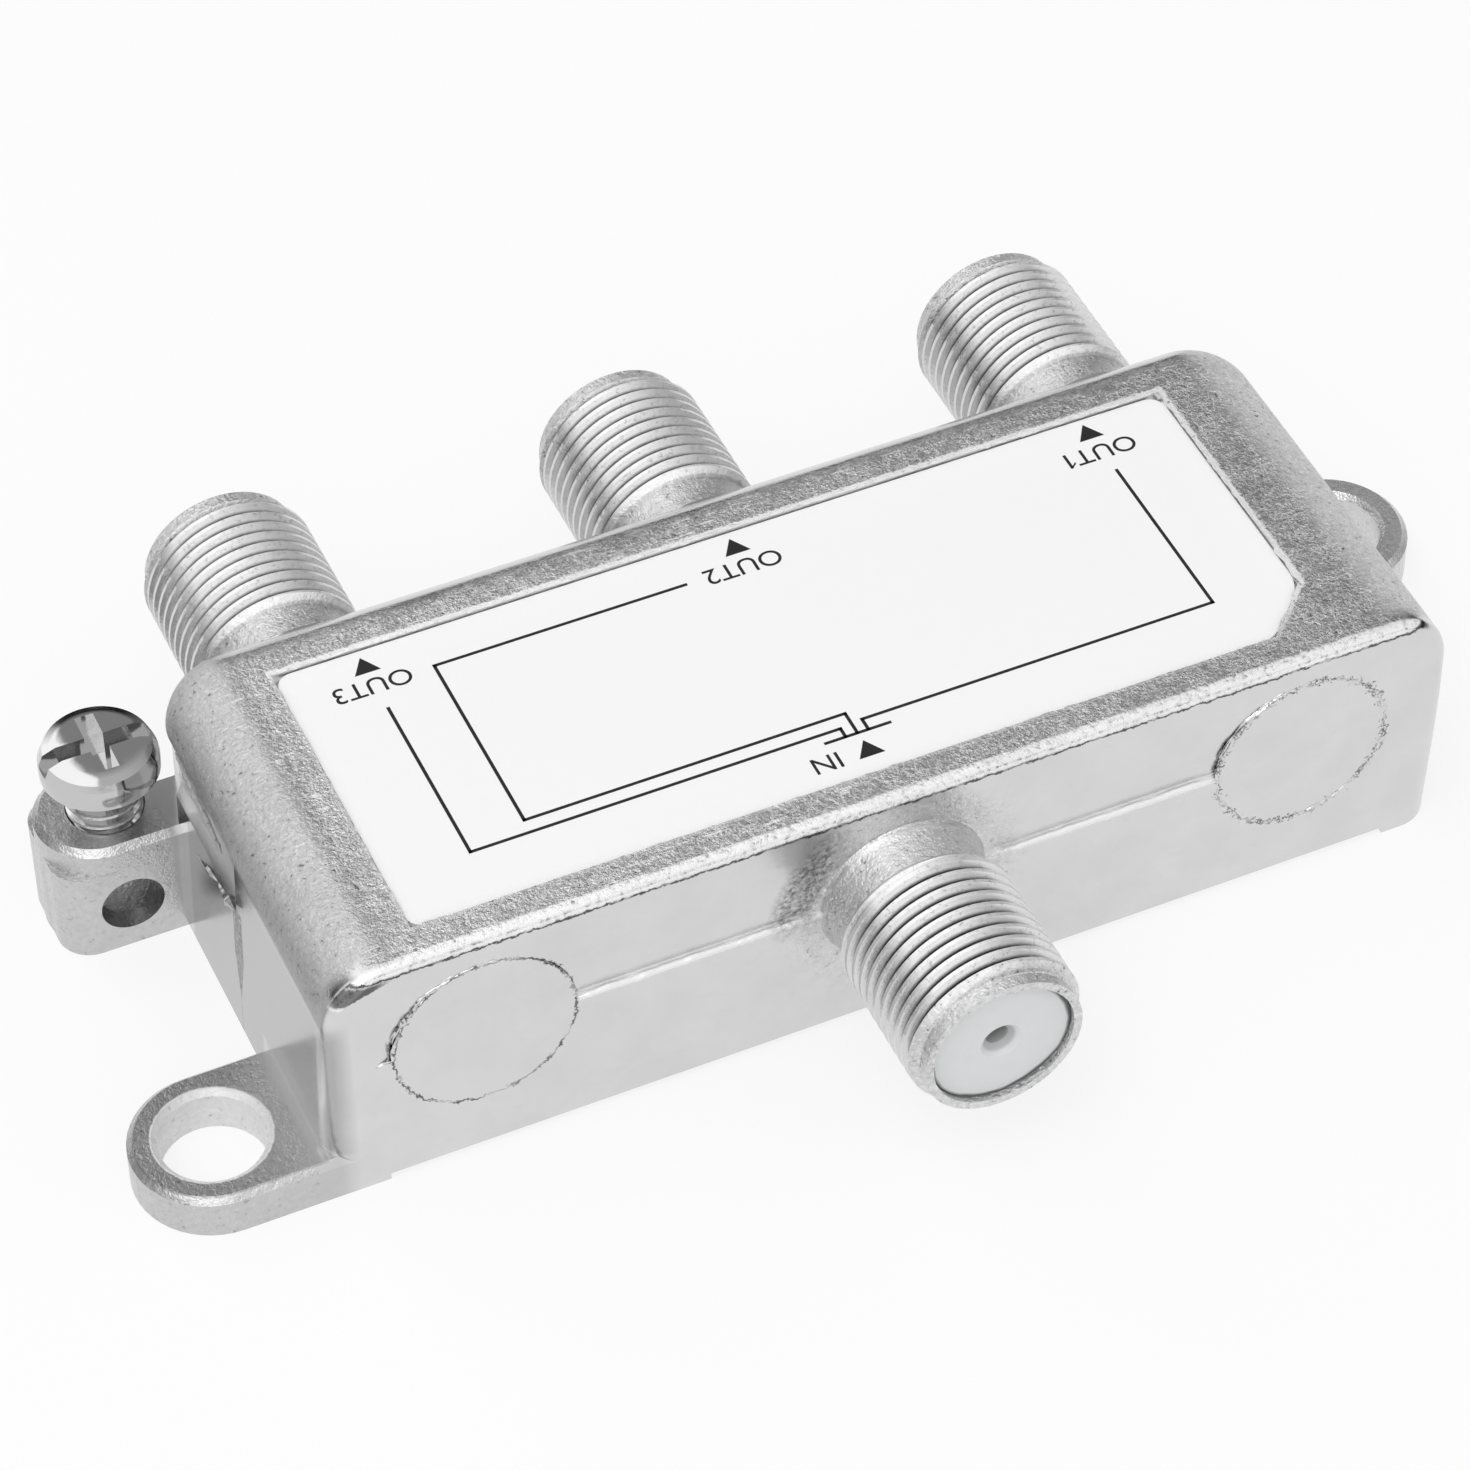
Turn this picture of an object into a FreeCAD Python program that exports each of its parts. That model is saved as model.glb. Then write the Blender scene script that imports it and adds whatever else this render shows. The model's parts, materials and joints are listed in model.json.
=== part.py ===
import FreeCAD, Part
import math
import os
import Sketcher

# Three-way coaxial splitter: a die-cast housing with one input port and three output ports,
# two fixing ears, an earth lug with its screw, a label, a back cover and the board inside.
# +Z is up through the label, -Y is towards the input port, and the origin is on the back
# cover's outer face, in the middle of the housing.

# Sizes in millimetres: name, value and what it measures
SIZES = [
    ("body_length", 62.2, "housing, end wall to end wall at the foot"),
    ("body_width", 25.0, "housing, front wall to back wall at the foot"),
    ("body_height", 15.35, "housing, foot to top face"),
    ("end_lean", 0.5, "draft of each end wall over the body height"),
    ("front_corner_radius", 2.0, "upright corners beside the input port"),
    ("back_corner_radius", 3.8, "upright corners beside the output ports"),
    ("soft_edge_radius", 3.4, "top edge along the ends and the back"),
    ("sharp_edge_radius", 0.6, "top edge along the front"),
    ("parting_height", 8.6, "parting line, which the port axes share"),
    ("panel_depth", 0.3, "front wall set back just above the parting line"),
    ("panel_top", 13.2, "where that set back has died out, above the foot"),
    ("panel_run_out", 1.0, "where it dies out beyond the left closed port place"),
    ("foot_relief_height", 0.4, "relief along the long foot edges"),
    ("foot_relief_depth", 0.4, "depth of that relief into the wall"),
    ("foot_pad_length", 3.2, "foot pad left at each corner"),
    ("wall", 1.8, "housing wall"),
    ("ceiling_height", 13.2, "cavity, from the foot to its ceiling"),
    ("cavity_corner_radius", 1.2, "upright corners of the cavity"),
    ("port_pitch", 22.5, "between neighbouring output ports"),
    ("port_length", 11.4, "port, wall to nose"),
    ("port_thread_radius", 4.7, "crest radius of the 3/8-32 port thread"),
    ("port_thread_start", 2.7, "wall to the first thread crest"),
    ("port_thread_end", 10.3, "wall to the last thread crest"),
    ("port_neck_radius", 4.3, "neck between the wall and the thread"),
    ("port_neck_fillet", 0.9, "fillet between neck and wall"),
    ("port_nose_radius", 4.25, "rim at the nose"),
    ("port_bore_radius", 3.8, "bore that holds the insulator"),
    ("port_shoulder", 2.0, "wall to the shoulder in the bore"),
    ("tail_hole_radius", 2.0, "hole from the shoulder into the cavity"),
    ("blank_radius", 4.8, "closed port places on the front wall"),
    ("fit_gap", 0.05, "clearance round pressed-in pieces"),
    ("insulator_recess", 0.35, "insulator face below the nose"),
    ("pin_hole_radius", 0.6, "hole for the cable's centre conductor"),
    ("pin_hole_length", 1.6, "length of that hole"),
    ("funnel_radius", 1.1, "mouth of the funnel round the hole"),
    ("funnel_depth", 0.5, "depth of the funnel"),
    ("contact_radius", 0.95, "outer radius of the contact's tube"),
    ("contact_bore_radius", 0.65, "inner radius of the contact's tube"),
    ("contact_bore_length", 5.5, "depth of the contact's tube"),
    ("contact_tail_radius", 0.4, "contact's tail under the board"),
    ("contact_tail_length", 3.2, "tail inside the cavity"),
    ("ear_radius", 4.25, "round end of a fixing ear"),
    ("ear_thickness", 2.6, "fixing ear"),
    ("ear_hole_radius", 2.72, "fixing hole"),
    ("ear_hole_bevel", 0.3, "bevel round the fixing hole"),
    ("ear_edge_bevel", 0.35, "bevel of the ear's upper edge"),
    ("ear_overlap", 0.6, "ear's plate past the rounded corner, inside the wall"),
    ("left_ear_reach", 4.5, "end wall's foot to the left fixing hole"),
    ("right_ear_reach", 3.85, "end wall's foot to the right fixing hole"),
    ("right_ear_setback", 6.1, "back wall to the right fixing hole"),
    ("lug_reach", 6.5, "end wall's foot to the lug's outer face"),
    ("lug_foot_gap", 0.9, "end wall's foot to the lug's squarer foot"),
    ("lug_neck_setback", 1.0, "back wall's face to the back of the lug's neck"),
    ("lug_setback", 5.0, "back wall to the lug's front face"),
    ("lug_depth", 6.45, "lug, front to back"),
    ("lug_height", 7.2, "lug's top face above the foot"),
    ("lug_step_height", 5.6, "where the lug's squarer foot ends"),
    ("lug_corner_radius", 1.8, "upright corners of the lug's foot"),
    ("lug_round_reach", 3.35, "end wall's foot to the centre of the lug's round head"),
    ("lug_edge_bevel", 0.35, "bevel of the lug's top edge"),
    ("screw_reach", 2.8, "end wall's foot to the screw's axis"),
    ("screw_hole_floor", 1.0, "floor of the screw's hole above the foot"),
    ("screw_radius", 2.0, "M4 thread of the earth screw"),
    ("screw_length", 6.0, "earth screw under its head"),
    ("screw_tip_bevel", 0.4, "bevel at the screw's tip"),
    ("screw_lift", 2.0, "head above the lug, as the screw stands"),
    ("screw_head_radius", 3.1, "screw head"),
    ("screw_head_height", 2.6, "screw head"),
    ("screw_head_dome", 1.0, "rounding of the head's upper edge"),
    ("screw_head_bevel", 0.8, "bevel under the head"),
    ("screw_slot_width", 1.0, "slot and cross in the head"),
    ("screw_slot_depth", 0.9, "slot in the head"),
    ("screw_cross_span", 4.0, "cross recess, tip to tip"),
    ("screw_cross_depth", 1.5, "cross recess in the head"),
    ("head_relief", 0.9, "clearance cut in the end wall round the head"),
    ("head_relief_top", 12.4, "top of that cut above the foot"),
    ("pocket_foot", 9.0, "foot of the shallow pocket in the end wall beside the screw"),
    ("pocket_reach", 0.3, "middle of the housing to the pocket's near end, towards the input"),
    ("pocket_depth", 0.5, "depth of that pocket"),
    ("wire_hole_radius", 1.7, "hole for the earth wire"),
    ("wire_hole_height", 2.95, "axis of that hole above the foot"),
    ("label_length", 50.0, "recess for the label"),
    ("label_width", 18.7, "recess for the label"),
    ("label_recess", 0.5, "depth of that recess"),
    ("label_corner_cut", 3.0, "cut corner of the label"),
    ("label_shift_x", 0.3, "middle of the recess towards the left ear"),
    ("label_shift_y", 1.1, "middle of the recess towards the input port"),
    ("label_thickness", 0.2, "label"),
    ("label_margin", 0.12, "recess edge to label edge"),
    ("label_corner_ease", 0.07, "less of the cut corner on the label than in its recess"),
    ("cover_lip", 0.9, "width of the seat round the back cover"),
    ("cover_thickness", 0.8, "back cover"),
    ("board_gap", 0.45, "cavity's walls to the circuit board"),
    ("board_thickness", 1.0, "circuit board"),
    ("ledge_length", 4.0, "ledge over each corner of the board"),
    ("ledge_width", 3.0, "ledge over each corner of the board"),
    ("core_radius", 2.5, "ferrite ring"),
    ("core_hole_radius", 1.2, "ferrite ring"),
    ("core_height", 2.0, "ferrite ring"),
    ("core_spacing", 11.5, "middle to each splitter ring"),
    ("matching_core_shift", 3.2, "middle to the matching ring, towards the left ear"),
    ("core_shift", 1.0, "rings off the middle, towards the input port"),
    ("wire_width", 0.3, "enamelled wire"),
    ("choke_core_radius", 0.8, "ferrite rod of a choke"),
    ("choke_length", 5.0, "ferrite rod of a choke"),
    ("choke_wire_radius", 1.25, "outer radius of a choke's coil"),
    ("choke_shift", 4.0, "output port to its choke"),
    ("choke_place", 4.8, "middle to the output chokes, towards the outputs"),
    ("input_choke_x", 5.6, "middle to the input choke, towards the left ear"),
    ("input_choke_y", 7.0, "middle to the input choke, towards the input"),
    ("diode_length", 2.7, "steering diode"),
    ("diode_width", 1.6, "steering diode"),
    ("diode_height", 1.1, "steering diode"),
    ("diode_foot_length", 0.4, "diode's foot past its case"),
    ("diode_foot_height", 0.35, "diode's foot"),
    ("diode_place", 0.2, "middle to the diodes, towards the input"),
    ("chip_length", 2.0, "chip capacitor or resistor"),
    ("chip_width", 1.25, "chip capacitor or resistor"),
    ("chip_height", 0.7, "chip capacitor or resistor"),
    ("chip_clear", 1.25, "ring's edge to the chip beside it"),
    ("solder_gap", 0.05, "solder film between the board and what it carries"),
]

# Turns of wire on a ring, and straight steps that make a quarter of a turned rounding
RING_TURNS = 6
ROUND_STEPS = 2

# Reach of a cutter past the faces that it opens
PAST = 1.0


class Size:
    """A number that remembers the sheet formula it comes from."""

    def __init__(self, value, formula):
        self.value = value
        self.formula = formula

    def __add__(self, other):
        other = as_size(other)
        return Size(self.value + other.value, f"({self.formula} + {other.formula})")

    def __sub__(self, other):
        other = as_size(other)
        return Size(self.value - other.value, f"({self.formula} - {other.formula})")

    def __mul__(self, other):
        other = as_size(other)
        return Size(self.value * other.value, f"({self.formula} * {other.formula})")

    def __truediv__(self, other):
        other = as_size(other)
        return Size(self.value / other.value, f"({self.formula} / {other.formula})")

    def __neg__(self):
        return self * -1


def as_size(number):
    """A plain number as a size, and a size as it is."""
    return number if isinstance(number, Size) else Size(float(number), repr(float(number)))


doc = FreeCAD.newDocument("coaxial_splitter")
sheet = doc.addObject("Spreadsheet::Sheet", "Sizes")
d = type("Dimensions", (), {})()
for row, (name, number, meaning) in enumerate(SIZES, 1):
    sheet.set(f"A{row}", meaning)
    sheet.set(f"B{row}", str(number))
    sheet.setAlias(f"B{row}", name)
    setattr(d, name, Size(number, f"Sizes.{name}"))
doc.recompute()

# Values that several pieces share
half_length = d.body_length / 2
half_width = d.body_width / 2
cavity_half_length = half_length - d.end_lean - d.wall
cavity_half_width = half_width - d.panel_depth - d.wall
board_length = (cavity_half_length - d.board_gap) * 2
board_width = (cavity_half_width - d.board_gap) * 2
left_ear_x = -(half_length + d.left_ear_reach)
right_ear_x = half_length + d.right_ear_reach
ear_offset = half_width - d.ear_radius
right_ear_y = half_width - d.right_ear_setback
lug_front = half_width - d.lug_setback
screw_x = -(half_length + d.screw_reach)
screw_y = lug_front + d.lug_depth / 2
screw_seat = d.lug_height + d.screw_lift
board_under = d.parting_height + d.contact_tail_radius + d.solder_gap
part_seat = board_under - d.solder_gap
label_floor = d.body_height - d.label_recess
ring_loop_gap = d.solder_gap * 2
ring_seat = part_seat - d.wire_width - ring_loop_gap
FRONT_TURN = 180
PORTS = [
    ("input", as_size(0), -half_width, FRONT_TURN),
    ("output_1", d.port_pitch, half_width, 0),
    ("output_2", as_size(0), half_width, 0),
    ("output_3", -d.port_pitch, half_width, 0),
]
X_AXIS = FreeCAD.Vector(1, 0, 0)
Y_AXIS = FreeCAD.Vector(0, 1, 0)
Z_AXIS = FreeCAD.Vector(0, 0, 1)
nodes = []


def bind(thing, prop, size):
    """Set a property to a size and tie it to the size's formula."""
    size = as_size(size)
    if "." not in prop:
        setattr(thing, prop, size.value)
    thing.setExpression(prop, size.formula)


def place(thing, x=0, y=0, z=0, turn=0, axis=Z_AXIS):
    """Put an object at a bound position, turned by a fixed angle about an axis."""
    x, y, z = as_size(x), as_size(y), as_size(z)
    spot = FreeCAD.Vector(x.value, y.value, z.value)
    thing.Placement = FreeCAD.Placement(spot, FreeCAD.Rotation(axis, turn))
    for letter, size in (("x", x), ("y", y), ("z", z)):
        thing.setExpression(f"Placement.Base.{letter}", size.formula)
    return thing


def keep(name, thing):
    """Name a finished sub-part, which becomes a node of its own."""
    thing.Label = name
    nodes.append(thing)
    return thing


def new_body(name):
    return doc.addObject("PartDesign::Body", name)


def origin_plane(body, role):
    return next(plane for plane in body.Origin.OriginFeatures if plane.Role == role)


def polygon_sketch(body, name, plane, points):
    """A closed outline on an origin plane, each corner held by two bound distances."""
    sketch = body.newObject("Sketcher::SketchObject", name)
    sketch.AttachmentSupport = [(origin_plane(body, plane), "")]
    sketch.MapMode = "FlatFace"
    corners = [(as_size(x), as_size(y)) for x, y in points]
    count = len(corners)
    for index, (x, y) in enumerate(corners):
        end_x, end_y = corners[(index + 1) % count]
        start = FreeCAD.Vector(x.value, y.value, 0)
        end = FreeCAD.Vector(end_x.value, end_y.value, 0)
        sketch.addGeometry(Part.LineSegment(start, end), False)
    for index in range(count):
        sketch.addConstraint(Sketcher.Constraint("Coincident", index, 2, (index + 1) % count, 1))
    for index, corner in enumerate(corners):
        for kind, size in zip(("DistanceX", "DistanceY"), corner):
            held = sketch.addConstraint(Sketcher.Constraint(kind, -1, 1, index, 1, size.value))
            sketch.setExpression(f"Constraints[{held}]", size.formula)
    return sketch


def circle_sketch(body, name, plane, x, y, radius):
    """A circle on an origin plane with its centre and radius bound."""
    x, y, radius = as_size(x), as_size(y), as_size(radius)
    sketch = body.newObject("Sketcher::SketchObject", name)
    sketch.AttachmentSupport = [(origin_plane(body, plane), "")]
    sketch.MapMode = "FlatFace"
    centre = FreeCAD.Vector(x.value, y.value, 0)
    sketch.addGeometry(Part.Circle(centre, Z_AXIS, radius.value), False)
    held = sketch.addConstraint(Sketcher.Constraint("DistanceX", -1, 1, 0, 3, x.value))
    sketch.setExpression(f"Constraints[{held}]", x.formula)
    held = sketch.addConstraint(Sketcher.Constraint("DistanceY", -1, 1, 0, 3, y.value))
    sketch.setExpression(f"Constraints[{held}]", y.formula)
    held = sketch.addConstraint(Sketcher.Constraint("Radius", 0, radius.value))
    sketch.setExpression(f"Constraints[{held}]", radius.formula)
    return sketch


def pad(body, name, sketch, length, midplane=False, reverse=False):
    feature = body.newObject("PartDesign::Pad", name)
    feature.Profile = sketch
    bind(feature, "Length", length)
    feature.Midplane = midplane
    feature.Reversed = reverse
    sketch.Visibility = False
    doc.recompute()
    return feature


def pocket(body, name, sketch, depth, reverse=False):
    """A cut below the sketch plane, which must take something away."""
    before = body.Shape.Volume
    feature = body.newObject("PartDesign::Pocket", name)
    feature.Profile = sketch
    bind(feature, "Length", depth)
    feature.Reversed = reverse
    sketch.Visibility = False
    doc.recompute()
    if body.Shape.Volume >= before:
        raise RuntimeError(f"{name} cuts nothing")
    return feature


def dress(body, kind, name, prop, size, chosen):
    """A fillet or chamfer on the edges of the tip that a test picks out."""
    tip = body.Tip
    edges = [f"Edge{number}" for number, edge in enumerate(tip.Shape.Edges, 1) if chosen(edge)]
    if not edges:
        raise RuntimeError(f"{name} finds no edge")
    feature = body.newObject(f"PartDesign::{kind}", name)
    feature.Base = (tip, edges)
    bind(feature, prop, size)
    doc.recompute()
    return feature


def turned(name, points, plane="XY_Plane"):
    """A solid of revolution about the sketch's upright axis, from (radius, distance) points."""
    body = new_body(name)
    sketch = polygon_sketch(body, f"{name}_profile", plane, points)
    feature = body.newObject("PartDesign::Revolution", f"{name}_turn")
    feature.Profile = sketch
    feature.ReferenceAxis = (sketch, ["V_Axis"])
    feature.Angle = 360
    sketch.Visibility = False
    doc.recompute()
    return body


def box(name, length, width, height, x=0, y=0, z=0):
    """A block centred on x and y, standing on z."""
    thing = doc.addObject("Part::Box", name)
    length, width = as_size(length), as_size(width)
    bind(thing, "Length", length)
    bind(thing, "Width", width)
    bind(thing, "Height", height)
    return place(thing, as_size(x) - length / 2, as_size(y) - width / 2, z)


def cylinder(name, radius, height, x=0, y=0, z=0, turn=0, axis=X_AXIS):
    thing = doc.addObject("Part::Cylinder", name)
    bind(thing, "Radius", radius)
    bind(thing, "Height", height)
    return place(thing, x, y, z, turn, axis)


def fused(name, shapes):
    thing = doc.addObject("Part::MultiFuse", name)
    thing.Shapes = shapes
    return thing


def cut(name, base, tools):
    thing = doc.addObject("Part::Cut", name)
    thing.Base = base
    thing.Tool = tools[0] if len(tools) == 1 else fused(f"{name}_tools", tools)
    return thing


def is_upright(edge):
    """Whether an edge runs mostly up, as the corners between walls do."""
    box_ = edge.BoundBox
    return box_.ZLength > 4 * max(box_.XLength, box_.YLength)


def lies_at(edge, height):
    """Whether the whole of an edge lies at one height."""
    box_ = edge.BoundBox
    return abs(box_.ZMin - height) < 1e-4 and abs(box_.ZMax - height) < 1e-4


def casting_block():
    """The box of the casting: end walls lean in and the top edge is soft, but tight in front."""
    body = new_body("casting_block")
    top = half_length - d.end_lean
    profile = [(-half_length, 0), (half_length, 0), (top, d.body_height), (-top, d.body_height)]
    sketch = polygon_sketch(body, "casting_profile", "XZ_Plane", profile)
    pad(body, "casting_pad", sketch, d.body_width, midplane=True)
    back = half_width.value
    height = d.body_height.value
    dress(body, "Fillet", "back_corners", "Radius", d.back_corner_radius,
          lambda edge: is_upright(edge) and edge.CenterOfMass.y > 0)
    dress(body, "Fillet", "soft_edge", "Radius", d.soft_edge_radius,
          lambda edge: lies_at(edge, height) and edge.BoundBox.YMax > -back + 1e-3)
    return front_edge(body)


def front_edge(body):
    """The edge round the front wall: upright corners that tighten into the top edge."""
    thing = doc.addObject("Part::Fillet", "front_edge")
    thing.Base = body
    upright = d.front_corner_radius.value
    tight = d.sharp_edge_radius.value
    front = -half_width.value
    edges = []
    for number, edge in enumerate(body.Shape.Edges, 1):
        box_ = edge.BoundBox
        if box_.YMax > front + 1e-4 or box_.ZMax < 1e-4:
            continue
        if is_upright(edge):
            edges.append((number, upright, upright))
        elif lies_at(edge, d.body_height.value):
            edges.append((number, tight, tight))
        elif edge.CenterOfMass.x < 0:
            edges.append((number, upright, tight))
        else:
            edges.append((number, tight, upright))
    thing.Edges = edges
    return thing


def front_panel():
    """The wedge taken off the front wall above the parting line, which dies out at its left end."""
    front = -half_width
    start = -(d.port_pitch + d.blank_radius + d.panel_run_out)
    leaning = new_body("panel_lean")
    profile = [(front - PAST, d.parting_height), (front + d.panel_depth, d.parting_height),
               (front, d.panel_top), (front - PAST, d.panel_top)]
    sketch = polygon_sketch(leaning, "panel_profile", "YZ_Plane", profile)
    pad(leaning, "panel_lean_pad", sketch, d.port_pitch - start)
    place(leaning, start)
    ramped = new_body("panel_ramp")
    outline = [(start, front), (start + d.panel_run_out * 2, front + d.panel_depth * 2),
               (d.port_pitch, front + d.panel_depth * 2), (d.port_pitch, front - PAST),
               (start, front - PAST)]
    sketch = polygon_sketch(ramped, "panel_outline", "XY_Plane", outline)
    pad(ramped, "panel_ramp_pad", sketch, d.body_height)
    panel = doc.addObject("Part::Common", "front_panel")
    panel.Base = leaning
    panel.Tool = ramped
    return panel


def quarter_round(centre_a, centre_b, radius, start):
    """Points of a quarter circle about a centre, from an angle in degrees and a quarter turn on."""
    points = []
    for step in range(ROUND_STEPS + 1):
        angle = math.radians(start + 90 * step / ROUND_STEPS)
        points.append((centre_a + radius * math.cos(angle), centre_b + radius * math.sin(angle)))
    return points


def port_barrel(name, x, y, turn):
    """The outside of one port: root, rounded into the neck, thread crest and bevelled nose."""
    root = d.port_neck_radius + d.port_neck_fillet
    bevel = d.port_thread_radius - d.port_nose_radius
    rounding_end = d.port_neck_fillet - d.panel_depth
    rounding = quarter_round(root, rounding_end, d.port_neck_fillet, 180)
    outline = [
        (0, -d.wall),
        (root, -d.wall),
        *reversed(rounding),
        (d.port_neck_radius, d.port_thread_start - bevel),
        (d.port_thread_radius, d.port_thread_start),
        (d.port_thread_radius, d.port_thread_end),
        (d.port_nose_radius, d.port_thread_end + bevel),
        (d.port_nose_radius, d.port_length),
        (0, d.port_length),
    ]
    return place(turned(f"{name}_barrel", outline), x, y, d.parting_height, turn)


def port_bore(name, x, y, turn):
    """The stepped bore through a port and the wall behind it."""
    outline = [
        (0, -d.wall - PAST),
        (d.tail_hole_radius, -d.wall - PAST),
        (d.tail_hole_radius, d.port_shoulder),
        (d.port_bore_radius, d.port_shoulder),
        (d.port_bore_radius, d.port_length + PAST),
        (0, d.port_length + PAST),
    ]
    return place(turned(f"{name}_bore", outline), x, y, d.parting_height, turn)


def blank(name, x):
    """A closed port place: a disc flush with the foot of the front wall."""
    depth = d.wall
    return cylinder(name, d.blank_radius, depth, x, depth - half_width, d.parting_height, 90)


def fixing_ear(name, x, y, turn):
    """A flat ear with a round end, made pointing to -X with its outer side towards -Y."""
    body = new_body(name)
    root = d.left_ear_reach + d.front_corner_radius + d.ear_overlap
    plate = [(0, -d.ear_radius), (root, -d.ear_radius), (root, d.ear_radius), (0, d.ear_radius)]
    pad(body, f"{name}_plate", polygon_sketch(body, f"{name}_outline", "XY_Plane", plate),
        d.ear_thickness)
    disc = circle_sketch(body, f"{name}_end", "XY_Plane", 0, 0, d.ear_radius)
    pad(body, f"{name}_round", disc, d.ear_thickness)
    top = d.ear_thickness.value
    dress(body, "Chamfer", f"{name}_rim", "Size", d.ear_edge_bevel,
          lambda edge: lies_at(edge, top) and edge.CenterOfMass.x < root.value - 1e-3)
    hole = circle_sketch(body, f"{name}_hole_circle", "XY_Plane", 0, 0, d.ear_hole_radius)
    pocket(body, f"{name}_hole", hole, d.ear_thickness + PAST, reverse=True)
    reach = d.ear_hole_radius.value
    dress(body, "Chamfer", f"{name}_bevel", "Size", d.ear_hole_bevel,
          lambda edge: lies_at(edge, top) and abs(edge.BoundBox.XMax - reach) < 1e-3)
    return place(body, x, y, 0, turn)


def earth_lug():
    """The lug for the earth wire: a squarer foot and a round head about the screw."""
    body = new_body("earth_lug")
    wall_x = d.wall - half_length
    back = lug_front + d.lug_depth
    outer = -(half_length + d.lug_reach)
    inner = -(half_length + d.lug_foot_gap)
    foot = [(outer, lug_front), (inner, lug_front), (inner, back), (outer, back)]
    pad(body, "lug_foot", polygon_sketch(body, "lug_foot_outline", "XY_Plane", foot),
        d.lug_step_height)
    dress(body, "Fillet", "lug_corners", "Radius", d.lug_corner_radius, is_upright)
    centre = -(half_length + d.lug_round_reach)
    neck_back = half_width - d.lug_neck_setback
    neck = [(centre, lug_front), (wall_x, lug_front), (wall_x, neck_back), (centre, neck_back)]
    pad(body, "lug_neck", polygon_sketch(body, "lug_neck_outline", "XY_Plane", neck), d.lug_height)
    disc = circle_sketch(body, "lug_head_outline", "XY_Plane", centre, screw_y, d.lug_depth / 2)
    pad(body, "lug_head", disc, d.lug_height)
    top = d.lug_height.value
    dress(body, "Chamfer", "lug_rim", "Size", d.lug_edge_bevel,
          lambda edge: lies_at(edge, top) and edge.CenterOfMass.x < wall_x.value - 1e-3)
    return body


def label_plate(name, margin, corner_ease, thickness, z):
    """The label's outline with one corner cut, inset by a margin."""
    body = new_body(name)
    reach = d.label_length / 2 - margin
    side = d.label_width / 2 - margin
    corner = d.label_corner_cut - corner_ease
    outline = [
        (-reach, -side),
        (reach - corner, -side),
        (reach, -side + corner),
        (reach, side),
        (-reach, side),
    ]
    pad(body, f"{name}_pad", polygon_sketch(body, f"{name}_outline", "XY_Plane", outline), thickness)
    return place(body, -d.label_shift_x, -d.label_shift_y, z)


def cavity():
    """The hollow for the board, less the ledges over the board's corners."""
    body = new_body("cavity_block")
    foot = cavity_half_length + d.end_lean
    profile = [(-foot, -PAST), (foot, -PAST), (cavity_half_length, d.ceiling_height),
               (-cavity_half_length, d.ceiling_height)]
    sketch = polygon_sketch(body, "cavity_profile", "XZ_Plane", profile)
    pad(body, "cavity_pad", sketch, cavity_half_width * 2, midplane=True)
    dress(body, "Fillet", "cavity_corners", "Radius", d.cavity_corner_radius, is_upright)
    ledge_z = board_under + d.board_thickness + d.solder_gap
    ledges = []
    for side_x in (-1, 1):
        for side_y in (-1, 1):
            x = (board_length / 2 - d.ledge_length / 2 + d.wall) * side_x
            y = (board_width / 2 - d.ledge_width / 2 + d.wall) * side_y
            length = d.ledge_length + d.wall * 2
            width = d.ledge_width + d.wall * 2
            name = f"ledge_{len(ledges) + 1}"
            ledges.append(box(name, length, width, d.ceiling_height, x, y, ledge_z))
    return cut("cavity", body, ledges)


def cover_plate(name, gap, z, thickness):
    """The outline of the back cover, or of its seat where the gap is nought."""
    reach = half_length - d.wall + d.cover_lip - gap
    side = half_width - d.wall + d.cover_lip - gap
    body = new_body(name)
    outline = [(-reach, -side), (reach, -side), (reach, side), (-reach, side)]
    pad(body, f"{name}_pad", polygon_sketch(body, f"{name}_outline", "XY_Plane", outline), thickness)
    dress(body, "Fillet", f"{name}_corners", "Radius", d.cavity_corner_radius,
          lambda edge: lies_upright_at_corner(edge, reach.value, side.value))
    return place(body, 0, 0, z)


def lies_upright_at_corner(edge, reach, side):
    """Whether an edge stands at one of the four corners of a plate."""
    spot = edge.CenterOfMass
    return abs(abs(spot.x) - reach) < 1e-3 and abs(abs(spot.y) - side) < 1e-3


def foot_relief(name, side):
    """The shallow step that leaves a foot pad at both ends of a long wall."""
    length = d.body_length - d.foot_pad_length * 2
    depth = d.foot_relief_depth * 2
    return box(name, length, depth, d.foot_relief_height, 0, half_width * side, 0)


def pocket_cut():
    """The shallow pocket in the end wall that opens into the clearance round the screw's head."""
    floor = half_length - d.end_lean * d.pocket_foot / d.body_height - d.pocket_depth
    length = half_length + PAST - floor
    width = screw_y + d.pocket_reach
    return box("screw_pocket", length, width, d.head_relief_top - d.pocket_foot,
               -(floor + length / 2), width / 2 - d.pocket_reach, d.pocket_foot)


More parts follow.
